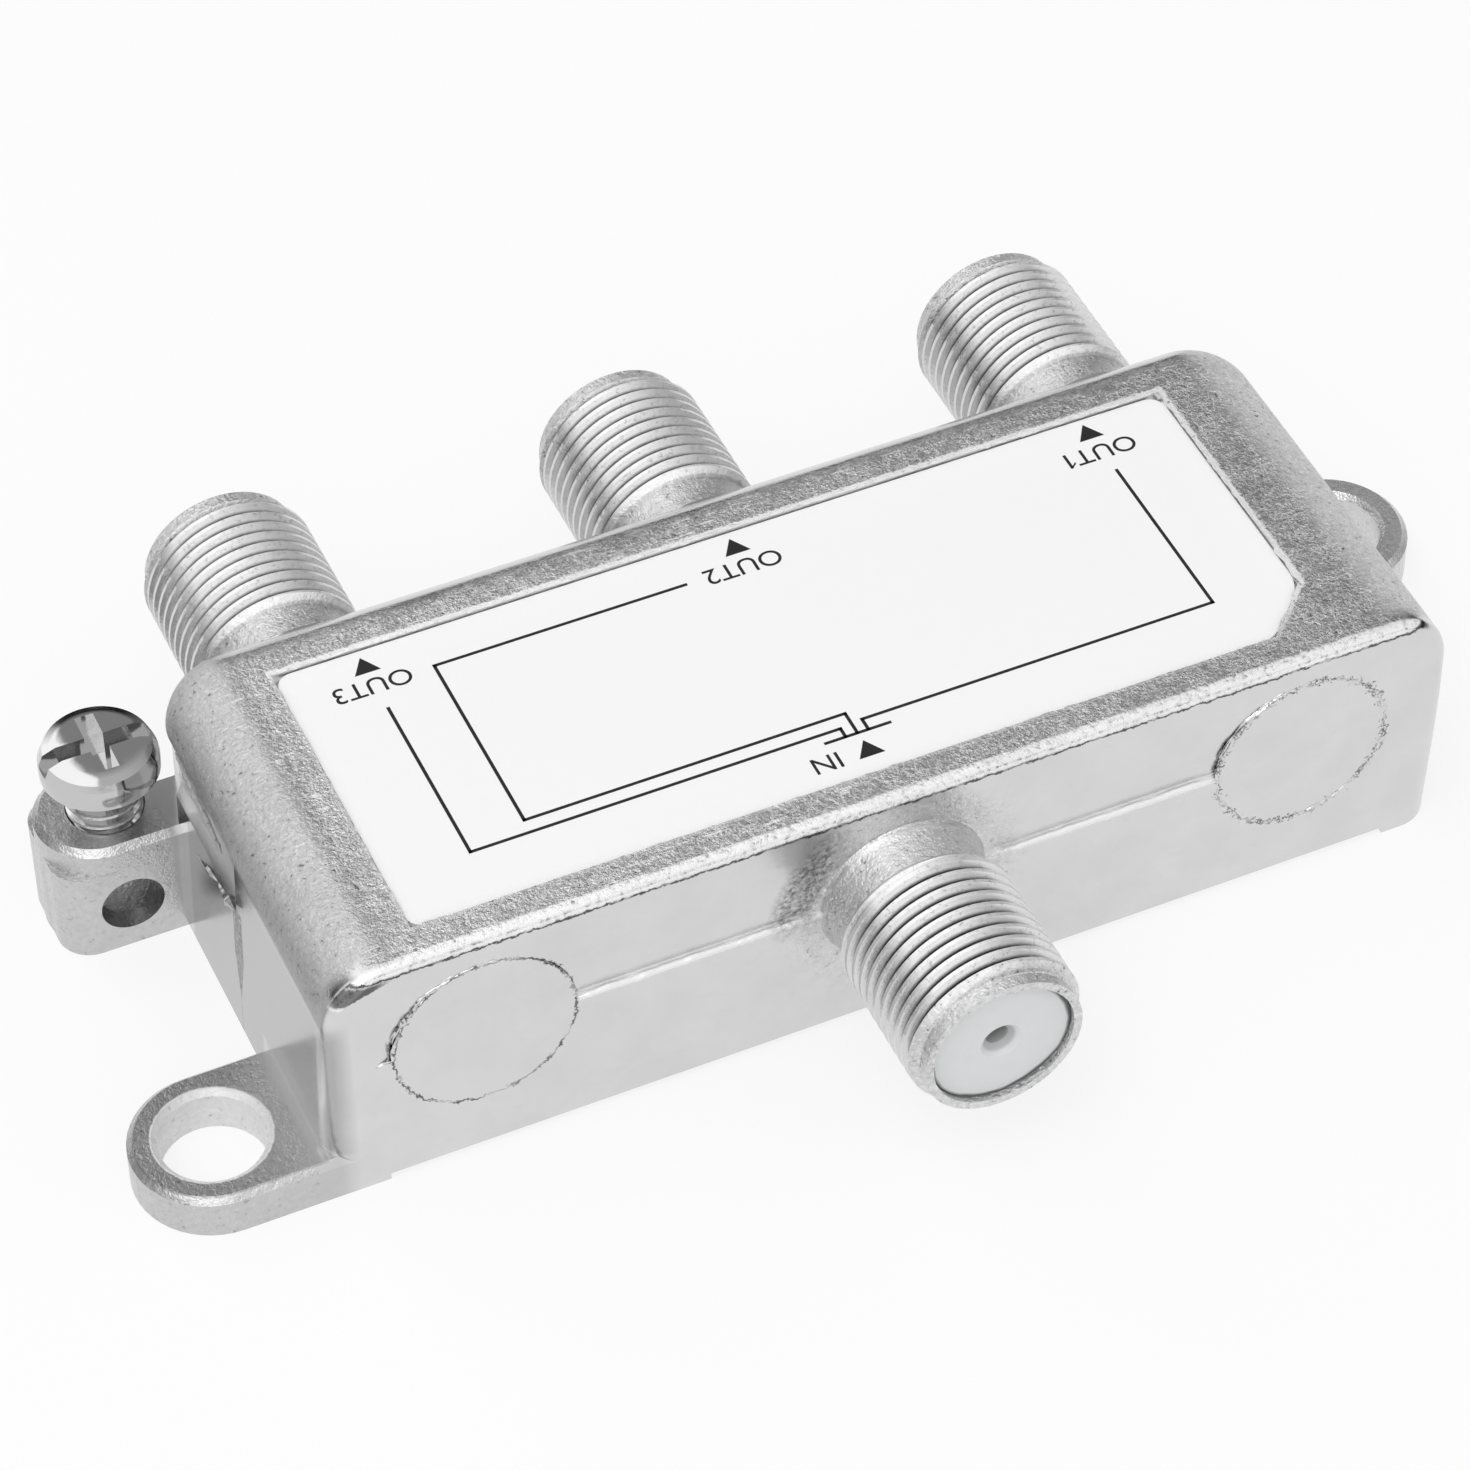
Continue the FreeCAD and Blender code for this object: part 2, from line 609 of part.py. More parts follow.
def housing():
    """The one-piece casting."""
    joined = [cut("casting", casting_block(), [front_panel()]), earth_lug()]
    for name, x, y, turn in PORTS:
        joined.append(port_barrel(name, x, y, turn))
    for name, x in (("left_blank", -d.port_pitch), ("right_blank", d.port_pitch)):
        joined.append(blank(name, x))
    joined.append(fixing_ear("left_ear", left_ear_x, -ear_offset, 0))
    joined.append(fixing_ear("right_ear", right_ear_x, right_ear_y, FRONT_TURN))
    solid = fused("casting_with_ports", joined)
    removed = [cavity(), cover_plate("cover_seat", as_size(0), -PAST, d.cover_thickness + PAST)]
    removed.append(label_plate("label_recess_block", as_size(0), as_size(0), d.label_recess + PAST,
                               label_floor))
    for name, x, y, turn in PORTS:
        removed.append(port_bore(name, x, y, turn))
    screw_clear = d.screw_radius + d.fit_gap
    removed.append(cylinder("screw_hole", screw_clear, d.lug_height, screw_x, screw_y,
                            d.screw_hole_floor))
    removed.append(cylinder("wire_hole", d.wire_hole_radius, d.lug_depth + PAST * 2, screw_x,
                            lug_front + d.lug_depth + PAST, d.wire_hole_height, 90))
    removed.append(cylinder("head_relief_cut", d.screw_head_radius + d.head_relief,
                            d.head_relief_top - d.lug_height, screw_x, screw_y, d.lug_height))
    removed.append(pocket_cut())
    for name, side in (("front_relief", -1), ("back_relief", 1)):
        removed.append(foot_relief(name, side))
    return keep("housing", cut("housing", solid, removed))


def back_cover():
    cover = cover_plate("back_cover", d.fit_gap, 0, d.cover_thickness)
    return keep("back_cover", cover)


def label():
    plate = label_plate("label", d.label_margin, d.label_corner_ease, d.label_thickness, label_floor)
    return keep("label", plate)


def insulator(name, x, y, turn):
    """The plastic insulator of a port: funnel, pin hole and the chamber round the contact."""
    face = d.port_length - d.insulator_recess
    hole_end = face - d.pin_hole_length
    body_radius = d.port_bore_radius - d.fit_gap
    chamber = d.contact_radius + d.fit_gap
    outline = [
        (d.pin_hole_radius, hole_end),
        (d.pin_hole_radius, face - d.funnel_depth),
        (d.funnel_radius, face),
        (body_radius, face),
        (body_radius, d.port_shoulder),
        (chamber, d.port_shoulder),
        (chamber, hole_end),
    ]
    return keep(f"{name}_insulator", place(turned(f"{name}_insulator", outline), x, y,
                                           d.parting_height, turn))


def contact(name, x, y, turn):
    """The brass contact: a tube for the cable's conductor and a tail that reaches the board."""
    mouth = d.port_length - d.insulator_recess - d.pin_hole_length
    bottom = mouth - d.contact_bore_length
    outline = [
        (d.contact_bore_radius, mouth),
        (d.contact_radius, mouth),
        (d.contact_radius, bottom - d.wire_width),
        (d.contact_tail_radius, bottom - d.wire_width),
        (d.contact_tail_radius, -d.wall - d.contact_tail_length),
        (0, -d.wall - d.contact_tail_length),
        (0, bottom),
        (d.contact_bore_radius, bottom),
    ]
    return keep(f"{name}_contact", place(turned(f"{name}_contact", outline), x, y,
                                         d.parting_height, turn))


def ground_screw():
    """The earth screw, a pan head with a slot and a cross, standing clear of its seat."""
    shoulder = d.screw_head_height - d.screw_head_dome
    outline = [
        (0, -d.screw_length),
        (d.screw_radius - d.screw_tip_bevel, -d.screw_length),
        (d.screw_radius, d.screw_tip_bevel - d.screw_length),
        (d.screw_radius, 0),
        (d.screw_head_radius - d.screw_head_bevel, 0),
        (d.screw_head_radius, d.screw_head_bevel),
        *quarter_round(d.screw_head_radius - d.screw_head_dome, shoulder, d.screw_head_dome, 0),
        (0, d.screw_head_height),
    ]
    body = turned("ground_screw", outline, "XZ_Plane")
    reach = d.screw_head_radius + PAST
    half = d.screw_slot_width / 2
    span = d.screw_cross_span / 2
    slot = [(-reach, -half), (reach, -half), (reach, half), (-reach, half)]
    arms = [
        ("head_slot", slot, d.screw_slot_depth),
        ("cross_long", [(-span, -half), (span, -half), (span, half), (-span, half)],
         d.screw_cross_depth),
        ("cross_wide", [(-half, -span), (half, -span), (half, span), (-half, span)],
         d.screw_cross_depth),
    ]
    for name, points, depth in arms:
        sketch = polygon_sketch(body, f"{name}_outline", "XY_Plane", points)
        bind(sketch, ".AttachmentOffset.Base.z", d.screw_head_height)
        pocket(body, name, sketch, depth)
    return keep("ground_screw", place(body, screw_x, screw_y, screw_seat))


def circuit_board():
    board = box("circuit_board", board_length, board_width, d.board_thickness, 0, 0, board_under)
    return keep("circuit_board", board)


def ferrite_ring(name, x, y):
    """A ferrite ring hung under the board by its winding."""
    top = ring_seat
    outer = cylinder(f"{name}_disc", d.core_radius, d.core_height, x, y, top - d.core_height)
    inner = cylinder(f"{name}_eye", d.core_hole_radius, d.core_height + PAST * 2, x, y,
                     top - d.core_height - PAST)
    return keep(name, cut(name, outer, [inner]))


def ring_winding(name, x, y):
    """Square turns of wire round a ferrite ring, as separate loops."""
    section = d.core_radius - d.core_hole_radius
    gap = ring_loop_gap
    middle = (d.core_radius + d.core_hole_radius) / 2
    length = section + (gap + d.wire_width) * 2
    height = d.core_height + (gap + d.wire_width) * 2
    loops = []
    for turn in range(RING_TURNS):
        outer = doc.addObject("Part::Box", f"{name}_loop_{turn + 1}")
        inner = doc.addObject("Part::Box", f"{name}_eye_{turn + 1}")
        angle = 360 * turn / RING_TURNS
        ray = FreeCAD.Rotation(Z_AXIS, angle).multVec(X_AXIS)
        side = FreeCAD.Rotation(Z_AXIS, angle).multVec(Y_AXIS)
        for thing, inset, depth in ((outer, as_size(0), d.wire_width),
                                    (inner, d.wire_width, d.wire_width * 3)):
            bind(thing, "Length", length - inset * 2)
            bind(thing, "Width", depth)
            bind(thing, "Height", height - inset * 2)
            start = middle - length / 2 + inset
            place(thing, as_size(x) + start * ray.x - depth * (side.x / 2),
                  as_size(y) + start * ray.y - depth * (side.y / 2),
                  ring_seat - d.core_height - gap - d.wire_width + inset, angle)
        loops.append(cut(f"{name}_turn_{turn + 1}", outer, [inner]))
    return keep(name, fused(name, loops))


def choke(core_name, coil_name, x, y, turn):
    """A ferrite rod and the coil round it, along Y before it is turned."""
    z = part_seat - d.choke_wire_radius
    half = d.choke_length / 2
    rod = [(0, -half), (d.choke_core_radius, -half), (d.choke_core_radius, half), (0, half)]
    keep(core_name, place(turned(core_name, rod), x, y, z, turn))
    inner = d.choke_core_radius + d.fit_gap
    reach = half - d.wire_width
    coil = [(inner, -reach), (d.choke_wire_radius, -reach), (d.choke_wire_radius, reach),
            (inner, reach)]
    return keep(coil_name, place(turned(coil_name, coil), x, y, z, turn))


def diode(name, x, y):
    """A small two-ended diode under the board, lying along Y."""
    case_length = d.diode_length - d.diode_foot_length * 2
    case = box(f"{name}_case", d.diode_width, case_length, d.diode_height, x, y,
               part_seat - d.diode_height)
    feet = box(f"{name}_feet", d.diode_width / 2, d.diode_length, d.diode_foot_height, x, y,
               part_seat - d.diode_foot_height)
    return keep(name, fused(name, [case, feet]))


def chip(name, x, y, across=False):
    """A chip capacitor or resistor under the board, along Y or across it."""
    length = d.chip_width if not across else d.chip_length
    width = d.chip_length if not across else d.chip_width
    return keep(name, box(name, length, width, d.chip_height, x, y, part_seat - d.chip_height))


def board_parts():
    """Rings, chokes, diodes and chips, each under the board beside the port it serves."""
    ring_y = -d.core_shift
    ferrite_ring("matching_core", -d.matching_core_shift, ring_y)
    ring_winding("matching_winding", -d.matching_core_shift, ring_y)
    for number, side in ((1, 1), (2, -1)):
        ferrite_ring(f"splitter_core_{number}", d.core_spacing * side, ring_y)
        ring_winding(f"splitter_winding_{number}", d.core_spacing * side, ring_y)
    choke("input_choke_core", "input_choke_coil", -d.input_choke_x, -d.input_choke_y, 90)
    tail_end = half_width - d.wall - d.contact_tail_length
    port_chip_y = tail_end - d.chip_length / 2 - d.wire_width
    chip("blocking_capacitor_1", 0, -port_chip_y)
    for number, side in ((1, 1), (2, 0), (3, -1)):
        x = d.port_pitch * side
        beside_x = x - d.choke_shift if side > 0 else x + d.choke_shift
        choke(f"output_choke_core_{number}", f"output_choke_coil_{number}", beside_x,
              d.choke_place, 0)
        diode(f"steering_diode_{number}", beside_x, -d.diode_place)
        chip(f"blocking_capacitor_{number + 1}", x, port_chip_y)
        decoupling_y = -d.diode_place - d.diode_length / 2 - d.chip_length
        chip(f"decoupling_capacitor_{number}", beside_x, decoupling_y)
    beside = d.core_radius + d.chip_clear + d.chip_width / 2
    chip("matching_capacitor", -d.matching_core_shift - beside, ring_y)
    for number, side in ((1, 1), (2, -1)):
        chip(f"balance_resistor_{number}", d.core_spacing * side, ring_y + beside, across=True)
    chip("input_resistor", d.input_choke_x, -d.input_choke_y, across=True)


def check_document():
    """Stop if any object failed or any sub-part has no valid shape."""
    doc.recompute()
    failed = [thing.Name for thing in doc.Objects if {"Invalid", "Error"} & set(thing.State)]
    if failed:
        raise RuntimeError(f"failed objects: {failed}")
    for node in nodes:
        if node.Shape.isNull() or not node.Shape.isValid():
            raise RuntimeError(f"{node.Label} has no valid shape")


def write_parts():
    os.makedirs("parts", exist_ok=True)
    for node in nodes:
        node.Shape.exportStep(f"parts/{node.Label}.step")
        print(node.Label, len(node.Shape.Solids), round(node.Shape.Volume, 3))


housing()
back_cover()
label()
ground_screw()
for port_name, port_x, port_y, port_turn in PORTS:
    insulator(port_name, port_x, port_y, port_turn)
    contact(port_name, port_x, port_y, port_turn)
circuit_board()
board_parts()
check_document()
write_parts()
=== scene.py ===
import json
import math

import bmesh
import bpy
from mathutils import Matrix, Vector, noise

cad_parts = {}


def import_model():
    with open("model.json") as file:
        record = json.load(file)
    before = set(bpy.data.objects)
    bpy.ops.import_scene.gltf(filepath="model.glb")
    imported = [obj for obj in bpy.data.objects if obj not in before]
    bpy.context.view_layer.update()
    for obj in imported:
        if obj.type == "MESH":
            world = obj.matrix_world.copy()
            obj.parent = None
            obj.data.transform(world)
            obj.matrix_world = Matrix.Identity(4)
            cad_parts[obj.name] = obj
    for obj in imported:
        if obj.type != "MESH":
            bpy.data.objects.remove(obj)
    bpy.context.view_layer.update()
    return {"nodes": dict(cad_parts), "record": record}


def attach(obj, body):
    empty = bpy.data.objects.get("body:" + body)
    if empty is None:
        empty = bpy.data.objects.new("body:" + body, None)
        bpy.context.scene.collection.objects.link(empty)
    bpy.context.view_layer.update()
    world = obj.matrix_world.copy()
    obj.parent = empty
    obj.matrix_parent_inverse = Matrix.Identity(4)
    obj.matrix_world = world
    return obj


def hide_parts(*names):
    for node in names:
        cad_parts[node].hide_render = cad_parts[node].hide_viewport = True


# Three-way coaxial splitter. Lengths are in millimetres, and MM brings them to metres.
MM = 0.001

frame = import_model()
nodes = frame["nodes"]

# Camera of the photograph, with its angles in degrees
CAMERA_AT = (-83.31, -178.56, 214.28)
CAMERA_AZIMUTH = 24.079
CAMERA_ELEVATION = 46.353
CAMERA_ROLL = -0.429
CAMERA_LENS = 136.15
CAMERA_SENSOR = 36.0
CAMERA_NEAR = 10.0

# Ports: name, place along X and which way they point along Y. Their threads run between two distances from
# the wall. The mouth is half of the groove's width past the crest, as a share of the pitch.
PORT_PITCH = 22.5
PORTS = [("input", 0.0, -1), ("output_1", 22.5, 1), ("output_2", 0.0, 1), ("output_3", -22.5, 1)]
HALF_WIDTH = 12.5
PORT_HEIGHT = 8.6
THREAD_PITCH = 0.794
THREAD_CREST = 4.7
THREAD_ROOT = 4.23
THREAD_START = 2.5
THREAD_END = 10.85
THREAD_MOUTH = 0.44
THREAD_PAST_CREST = 0.12

# Earth screw: its axis, the underside of its head and its M4 thread. The top is how far below the head the
# thread ends, as a share of the pitch.
SCREW_X = -33.9
SCREW_Y = 10.725
SCREW_SEAT = 9.2
SCREW_LENGTH = 6.0
SCREW_RADIUS = 2.0
SCREW_PITCH = 0.7
SCREW_DEPTH = 0.4
SCREW_PAST_CREST = 0.08
SCREW_MOUTH = 0.43
SCREW_TOP = 0.2

# Every groove: half of its root's width as a share of the pitch, its run-out in turns, the share of its
# depth that the run-out starts with, and steps in a turn
GROOVE_FLOOR = 0.07
RUN_OUT = 0.6
RUN_OUT_DEPTH = 0.04
STEPS_PER_TURN = 72

# Closed port places on the front wall, and the parting line between them
BLANK_RADIUS = 4.8
BLANKS = (-22.5, 22.5)
PARTINGS = [(-28.4, -27.4), (-17.6, -5.3), (5.3, 17.6)]
WALL_Y = -12.45

# Label: its middle, half sizes, cut corner and rounded corners
LABEL_X = -0.3
LABEL_Y = -1.1
LABEL_HALF_X = 24.88
LABEL_HALF_Y = 9.23
LABEL_CUT = 31.98
LABEL_ROUNDING = 0.9
LABEL_STEPS = 6
ROUND_PROFILE = 0.5

# Top face, the edge of the label's recess and the left ear's hole
TOP_Z = 15.34
RIM_Z = 15.25
RIM = [(-25.3, 8.25), (-25.3, -10.45), (21.7, -10.45), (24.7, -7.45), (24.7, 8.25), (-25.3, 8.25)]
THICK_RIM = [(21.7, -10.45), (24.7, -7.45), (24.72, 8.27), (-25.3, 8.27)]
EAR_X = -35.6
EAR_Y = -8.25

# Flash and a crack beside the earth screw's lug
POCKET_EDGE = [(-30.88, 7.3, 13.0), (-30.93, 5.6, 12.9), (-30.96, 3.8, 12.75), (-30.98, 2.1, 12.6),
               (-31.02, 0.4, 12.4)]
POCKET_LINE = [(-31.15, 4.4, 8.5), (-31.0, 1.8, 9.0), (-31.0, -0.6, 9.4)]
POCKET_CHIP = [(-31.0, 1.0, 9.15), (-31.0, -0.8, 9.4)]
CRACK_Y = -0.35
CRACK_TOP = 9.0

# Ways that flash may face
UP = (0, 0, 1)
FORWARD = (0, -1, 0)
LEFT = (-1, 0, 0)

# Flash on a closed port's rim: how much wider, two angles, the tube, what it gains at the next port, and the
# noise's step from port to port and start
BLANK_FLASH = [
    (0.0, 0, 360, 0.05, 0.03, 3.7, 0),
    (0.05, 75, 190, 0.12, 0.0, 2.3, 1),
    (0.2, 100, 165, 0.07, 0.0, 1.9, 2),
]

# Flash on the parting line: how far out, the tube, the noise's step from one to the next and its strength
PARTING_OUT = 0.05
PARTING_TUBE = 0.16
PARTING_NOISE = 1.3
PARTING_WOBBLE = 0.2

# Other flash: path, the way it faces, tube and noise's start
FLASH = [
    ([(x, y, RIM_Z) for x, y in RIM], UP, 0.06, 4.1),
    ([(x, y, RIM_Z) for x, y in THICK_RIM], UP, 0.1, 6.2),
    (POCKET_EDGE, LEFT, 0.13, 2.7),
    (POCKET_LINE, LEFT, 0.11, 8.1),
    (POCKET_CHIP, LEFT, 0.2, 5.3),
]

# How a line of flash swells, thins out at its ends and wanders, and an arc's fewest steps and their degrees
FLASH_STEP = 0.13
FLASH_SIDES = 6
FLASH_WOBBLE = 0.7
SWELL_BROAD = 0.9
SWELL_FINE = 3.7
SWELL_FINE_SHARE = 0.9
THINNEST = 0.2
THIN_STEPS = 5
WANDER = 0.1
WANDER_TURNS = 1.3
WANDER_START = 5
ARC_LEAST = 8
ARC_STEP = 3

# Label's printed face. The routes join the input to the outputs, and a 1 gets a small flag. A capital is
# this share of the font's size.
PRINT_Z = 15.05
PRINT_THICKNESS = 0.012
LINE_WIDTH = 0.18
CAP_HEIGHT = 1.12
CAP_SHARE = 0.72
WORD_STRETCH = 1.06
STROKE = 0.13
FLAG = (0.4, 0.34)
ROUTES = [
    [(20.05, 3.95), (20.05, -6.7), (0.4, -6.7), (0.4, -7.45)],
    [(-3.7, 5.6), (-17.5, 5.6), (-17.5, -6.0), (-0.2, -6.0), (-0.2, -7.45)],
    [(-20.7, 3.8), (-20.7, -6.85), (-0.85, -6.85), (-0.85, -7.45)],
    [(-1.93, -7.47), (1.56, -7.47)],
]
ARROWS = [(-20.7, 7.66), (-0.32, 7.7), (19.97, 7.75), (-0.17, -8.03)]
ARROW_WIDTH = 1.4
ARROW_HEIGHT = 1.12
WORDS = [("OUT3", -20.85, 5.62), ("OUT2", -0.5, 5.62), ("OUT1", 19.8, 5.62), ("IN", -2.45, -8.66)]

# Meshes: joined corners and flat distances in metres, the crease angle in degrees and the normals' weight
JOINED = 1e-7
FLAT = 1e-6
CREASE_ANGLE = 35.0
NORMAL_WEIGHT = 60

# A transform's matrix, and a right angle in degrees
MATRIX_SIZE = 4
RIGHT_ANGLE = 90.0

# Metals: color and roughness. The spreads are what a cloud makes of a roughness, as shares of it.
METALS = {
    "screw_metal": ((0.56, 0.56, 0.56), 0.08),
    "cover_sheet": ((0.66, 0.66, 0.65), 0.28),
    "contact_metal": ((0.80, 0.64, 0.33), 0.22),
    "enamelled_wire": ((0.62, 0.28, 0.12), 0.3),
}
METAL_GRAIN = 0.9
METAL_DEPTH = 0.02
METAL_SPREAD = (0.75, 1.4)
METAL_RELIEF = 0.3

# Plastics and the like: color, roughness, the grain's turns per millimetre, its depth and how far it darkens
PLASTICS = {
    "label_film": ((0.93, 0.93, 0.93), 0.22, 1.2, 0.01, 0.01),
    "label_ink": ((0.012, 0.012, 0.013), 0.35, 1.5, 0.02, 0.06),
    "insulator_plastic": ((0.76, 0.775, 0.78), 0.35, 1.5, 0.02, 0.06),
    "board_laminate": ((0.05, 0.16, 0.08), 0.4, 2.5, 0.03, 0.2),
    "ferrite": ((0.03, 0.03, 0.033), 0.6, 2.5, 0.05, 0.3),
    "diode_case": ((0.02, 0.02, 0.02), 0.45, 1.5, 0.02, 0.06),
    "chip_ceramic": ((0.36, 0.25, 0.15), 0.4, 1.5, 0.02, 0.06),
    "chip_film": ((0.02, 0.02, 0.022), 0.25, 1.5, 0.02, 0.06),
}
PLASTIC_SPREAD = (0.85, 1.2)
PLASTIC_RELIEF = 0.25
CLOUD = (0.3, 0.7)

# Noise where nothing else is said, and the inputs of a ramp
NOISE_DETAIL = 4.0
NOISE_ROUGHNESS = 0.6
RAMP_INPUTS = ("From Min", "From Max", "To Min", "To Max")

# A band names a value and maps it between two bounds: from, to, result, result. A band without bounds is the
# value itself. A mask is the product of its bands. "far" is the distance from the middle along X and "out"
# along Y. "radius" is the distance from the nearest port's axis, and "beside" the part of it along X.

# Milky plastic: painted shade at its rim and in its hole, and how deep the light goes into it
INSULATOR_PAINTED_SHADE = [
    [("ragged", 3.8, 3.95, 0.0, 1.0)],
    [("radius", 0.8, 0.95, 0.35, 0.0), ("out", 23.3, 23.5, 1.0, 0.0)],
]
INSULATOR_NOISE = (0.4, 2)
INSULATOR_RAGGED = 0.5
INSULATOR_SHADE = (0.1, 0.1, 0.1)
MILKY = 0.5
MILKY_DEPTH = 0.8
MILKY_RADIUS = (1.0, 1.0, 1.0)

# Casting: its noises, as turns per millimetre, detail, roughness and stretch. The worm noise is used as its
# distance from the middle, which makes thin lines.
CASTING_COLOR = (0.7, 0.7, 0.7)
CASTING_ROUGHNESS = 0.25
CASTING_NOISE = {
    "grain": (3.4, 4, 0.65),
    "fine": (8.0, 2, 0.5),
    "broad": (0.3, 3),
    "patches": (0.9, 3),
    "worm": (1.3, 4, 0.7),
    "stroke": (1.0, 3, 0.5, (0.35, 5.5, 1.0)),
}
FRONT_WALL = [("y", -12.1, -12.0, 1.0, 0.0), ("out", 12.6, 12.7, 1.0, 0.0)]
TOP_FACE = [("z", 15.05, 15.3, 0.0, 1.0)]

# Where the casting is rough, its relief and how much of the fine noise is in it
ROUGH = {
    "top": [("top",), ("patches", 0.35, 0.65, 0.6, 1.2)],
    "ends": [("z", 11.9, 12.8, 0.0, 1.2), ("far", 27.0, 28.0, 0.0, 1.0), ("y", -11.8, -10.8, 0.0, 1.0)],
    "necks": [("out", 12.6, 12.9, 0.0, 1.0), ("out", 14.6, 15.4, 1.0, 0.22)],
    "input's foot": [("front",), ("radius", 5.5, 7.2, 0.9, 0.0), ("far", 12.0, 13.0, 1.0, 0.0)],
    "noses": [("out", 22.3, 22.6, 0.0, 1.2)],
    "ears": [("far", 31.3, 31.8, 0.0, 0.5)],
}
ROUGH_LEAST = 0.05
RELIEF_FINE = 0.4
RELIEF_MIDDLE = 0.7
RELIEF_STRENGTH = 1.0
RELIEF_DEPTH = 0.1

# Where it is lighter: scratches, painted highlights on the lip round the label, the front edge, the parting
# ledge, the ear's ring, the front left corner and the threads' crests, and painted glints. A ragged value is
# how far the grain moves an edge. The ends are satin as well.
# The ear's ring is a painted highlight on the rim round the left ear's hole.
EAR_RING = [("from_hole", 2.6, 2.7, 0.0, 1.0), ("from_hole", 3.15, 3.25, 1.0, 0.0),
            ("z", 2.6, 2.8, 0.85, 0.0)]
WEAR_AND_HIGHLIGHTS = {
    "worms": [("worm", 0.0, 0.022, 0.7, 0.0), ("top",)],
    "strokes": [("stroke", 0.61, 0.65, 0.0, 0.9), ("top",), ("patches", 0.48, 0.58, 0.0, 1.0),
                ("x", -10.0, 20.0, 1.0, 0.5)],
    "painted glints": [("fine", 0.6, 0.66, 0.0, 0.8), ("speckled",)],
    "lip": [("past_label", 0.26, 0.34, 0.95, 0.0), ("z", 15.0, 15.1, 0.0, 1.0), ("lip_side",)],
    "front edge": [("y", -12.02, -11.9, 1.0, 0.0), ("fall", 14.78, 14.86, 0.0, 1.0),
                   ("grain", 0.36, 0.5, 0.2, 0.85), ("out", 12.5, 12.6, 1.0, 0.0)],
    "ledge": [("z", 8.4, 8.5, 0.0, 1.0), ("z", 8.85, 8.95, 1.0, 0.0), ("front",),
              ("far", 17.5, 17.7, 0.8, 0.0)],
    "ear's ring": [("ear_ring",)],
    "corner post": [("x", -30.9, -30.6, 0.9, 0.0), ("y", -11.4, -11.0, 1.0, 0.0), ("z", 2.5, 2.7, 0.0, 1.0),
                    ("z", 11.4, 11.6, 1.0, 0.0), ("far", 31.2, 31.3, 1.0, 0.0)],
    "crests": [("out", 12.6, 13.0, 0.0, 1.0), ("beside", -4.1, -3.0, 0.0, 1.0),
               ("beside", -0.6, 1.6, 0.9, 0.45), ("grain", 0.3, 0.45, 0.6, 1.0),
               ("radius", 4.32, 4.5, 0.25, 1.0)],
}
# The lip's painted highlight is stronger at its back and right sides.
LIP_LIT_SIDES = [[("y", 7.5, 8.0, 0.3, 1.0)], [("x", 21.0, 24.0, 0.3, 1.0)]]
LIP_RAGGED = 0.6
EDGE_FALL = (-29.8, -28.0, 1.3, 0.0)
EAR_RAGGED = 0.2
SPECKLED_MOST = 1.0
SATIN = [("z", 11.9, 12.8, 0.0, 0.75), ("far", 26.9, 27.9, 0.0, 1.0), ("y", -11.8, -10.8, 0.0, 1.0)]

# Where it is darker: painted shade in the thread grooves, a painted shadow under the top edge, painted shade
# left of the input, round the closed ports' rims and in a crack, and pits. The shadow's edge is wavy and
# rises at the front left corner.
SHADE_AND_PITS = {
    "grooves": [("radius", 4.27, 4.45, 0.9, 0.0), ("radius", 3.9, 4.0, 0.0, 1.0),
                ("out", 14.7, 14.9, 0.0, 1.0), ("out", 22.6, 22.8, 1.0, 0.0)],
    "painted shadow under the top edge": [("wavy", 14.98, 15.03, 0.0, 1.0), ("wavy", 15.12, 15.18, 1.0, 0.0), ("front",),
             ("patches", 0.38, 0.48, 0.3, 0.85)],
    "front left corner": [("deep", 14.95, 15.05, 0.0, 0.8), ("wavy", 14.9, 15.05, 1.0, 0.0), ("front",),
                          ("x", -30.4, -30.0, 0.0, 1.0), ("x", -28.0, -26.9, 1.0, 0.0)],
    "left of the input": [("front",), ("radius", 4.4, 5.2, 0.0, 1.0), ("radius", 6.6, 7.4, 1.0, 0.0),
                          ("x", -4.4, -2.6, 1.0, 0.0), ("far", 9.0, 10.0, 1.0, 0.0),
                          ("z", 7.5, 9.5, 0.0, 1.0), ("grain", 0.35, 0.6, 0.75, 0.15)],
    "closed ports": [("blank_radius", 4.72, 4.77, 0.0, 1.0), ("blank_radius", 4.86, 4.91, 1.0, 0.0),
                     ("front",), ("far", 14.0, 15.0, 0.0, 1.0), ("patches", 0.4, 0.55, 0.2, 0.8)],
    "crack": [("in_crack",), ("x", -29.6, -29.5, 1.0, 0.0), ("below_top",),
              ("grain", 0.42, 0.62, 0.92, 0.35)],
    "pits": [("grain", 0.37, 0.31, 0.0, 0.6), ("amount",)],
}
WAVY_GRAIN = 0.5
WAVY_PATCHES = 0.25
CORNER_RISE = (-29.6, -26.8, 0.95, 0.0)
BLANK_WANDER = (-5.0, 5.0, 0.9, 2.0)
CRACK_WIDTH = (2.4, 5.5, 0.02, 0.62)
CRACK_RAGGED = 0.3

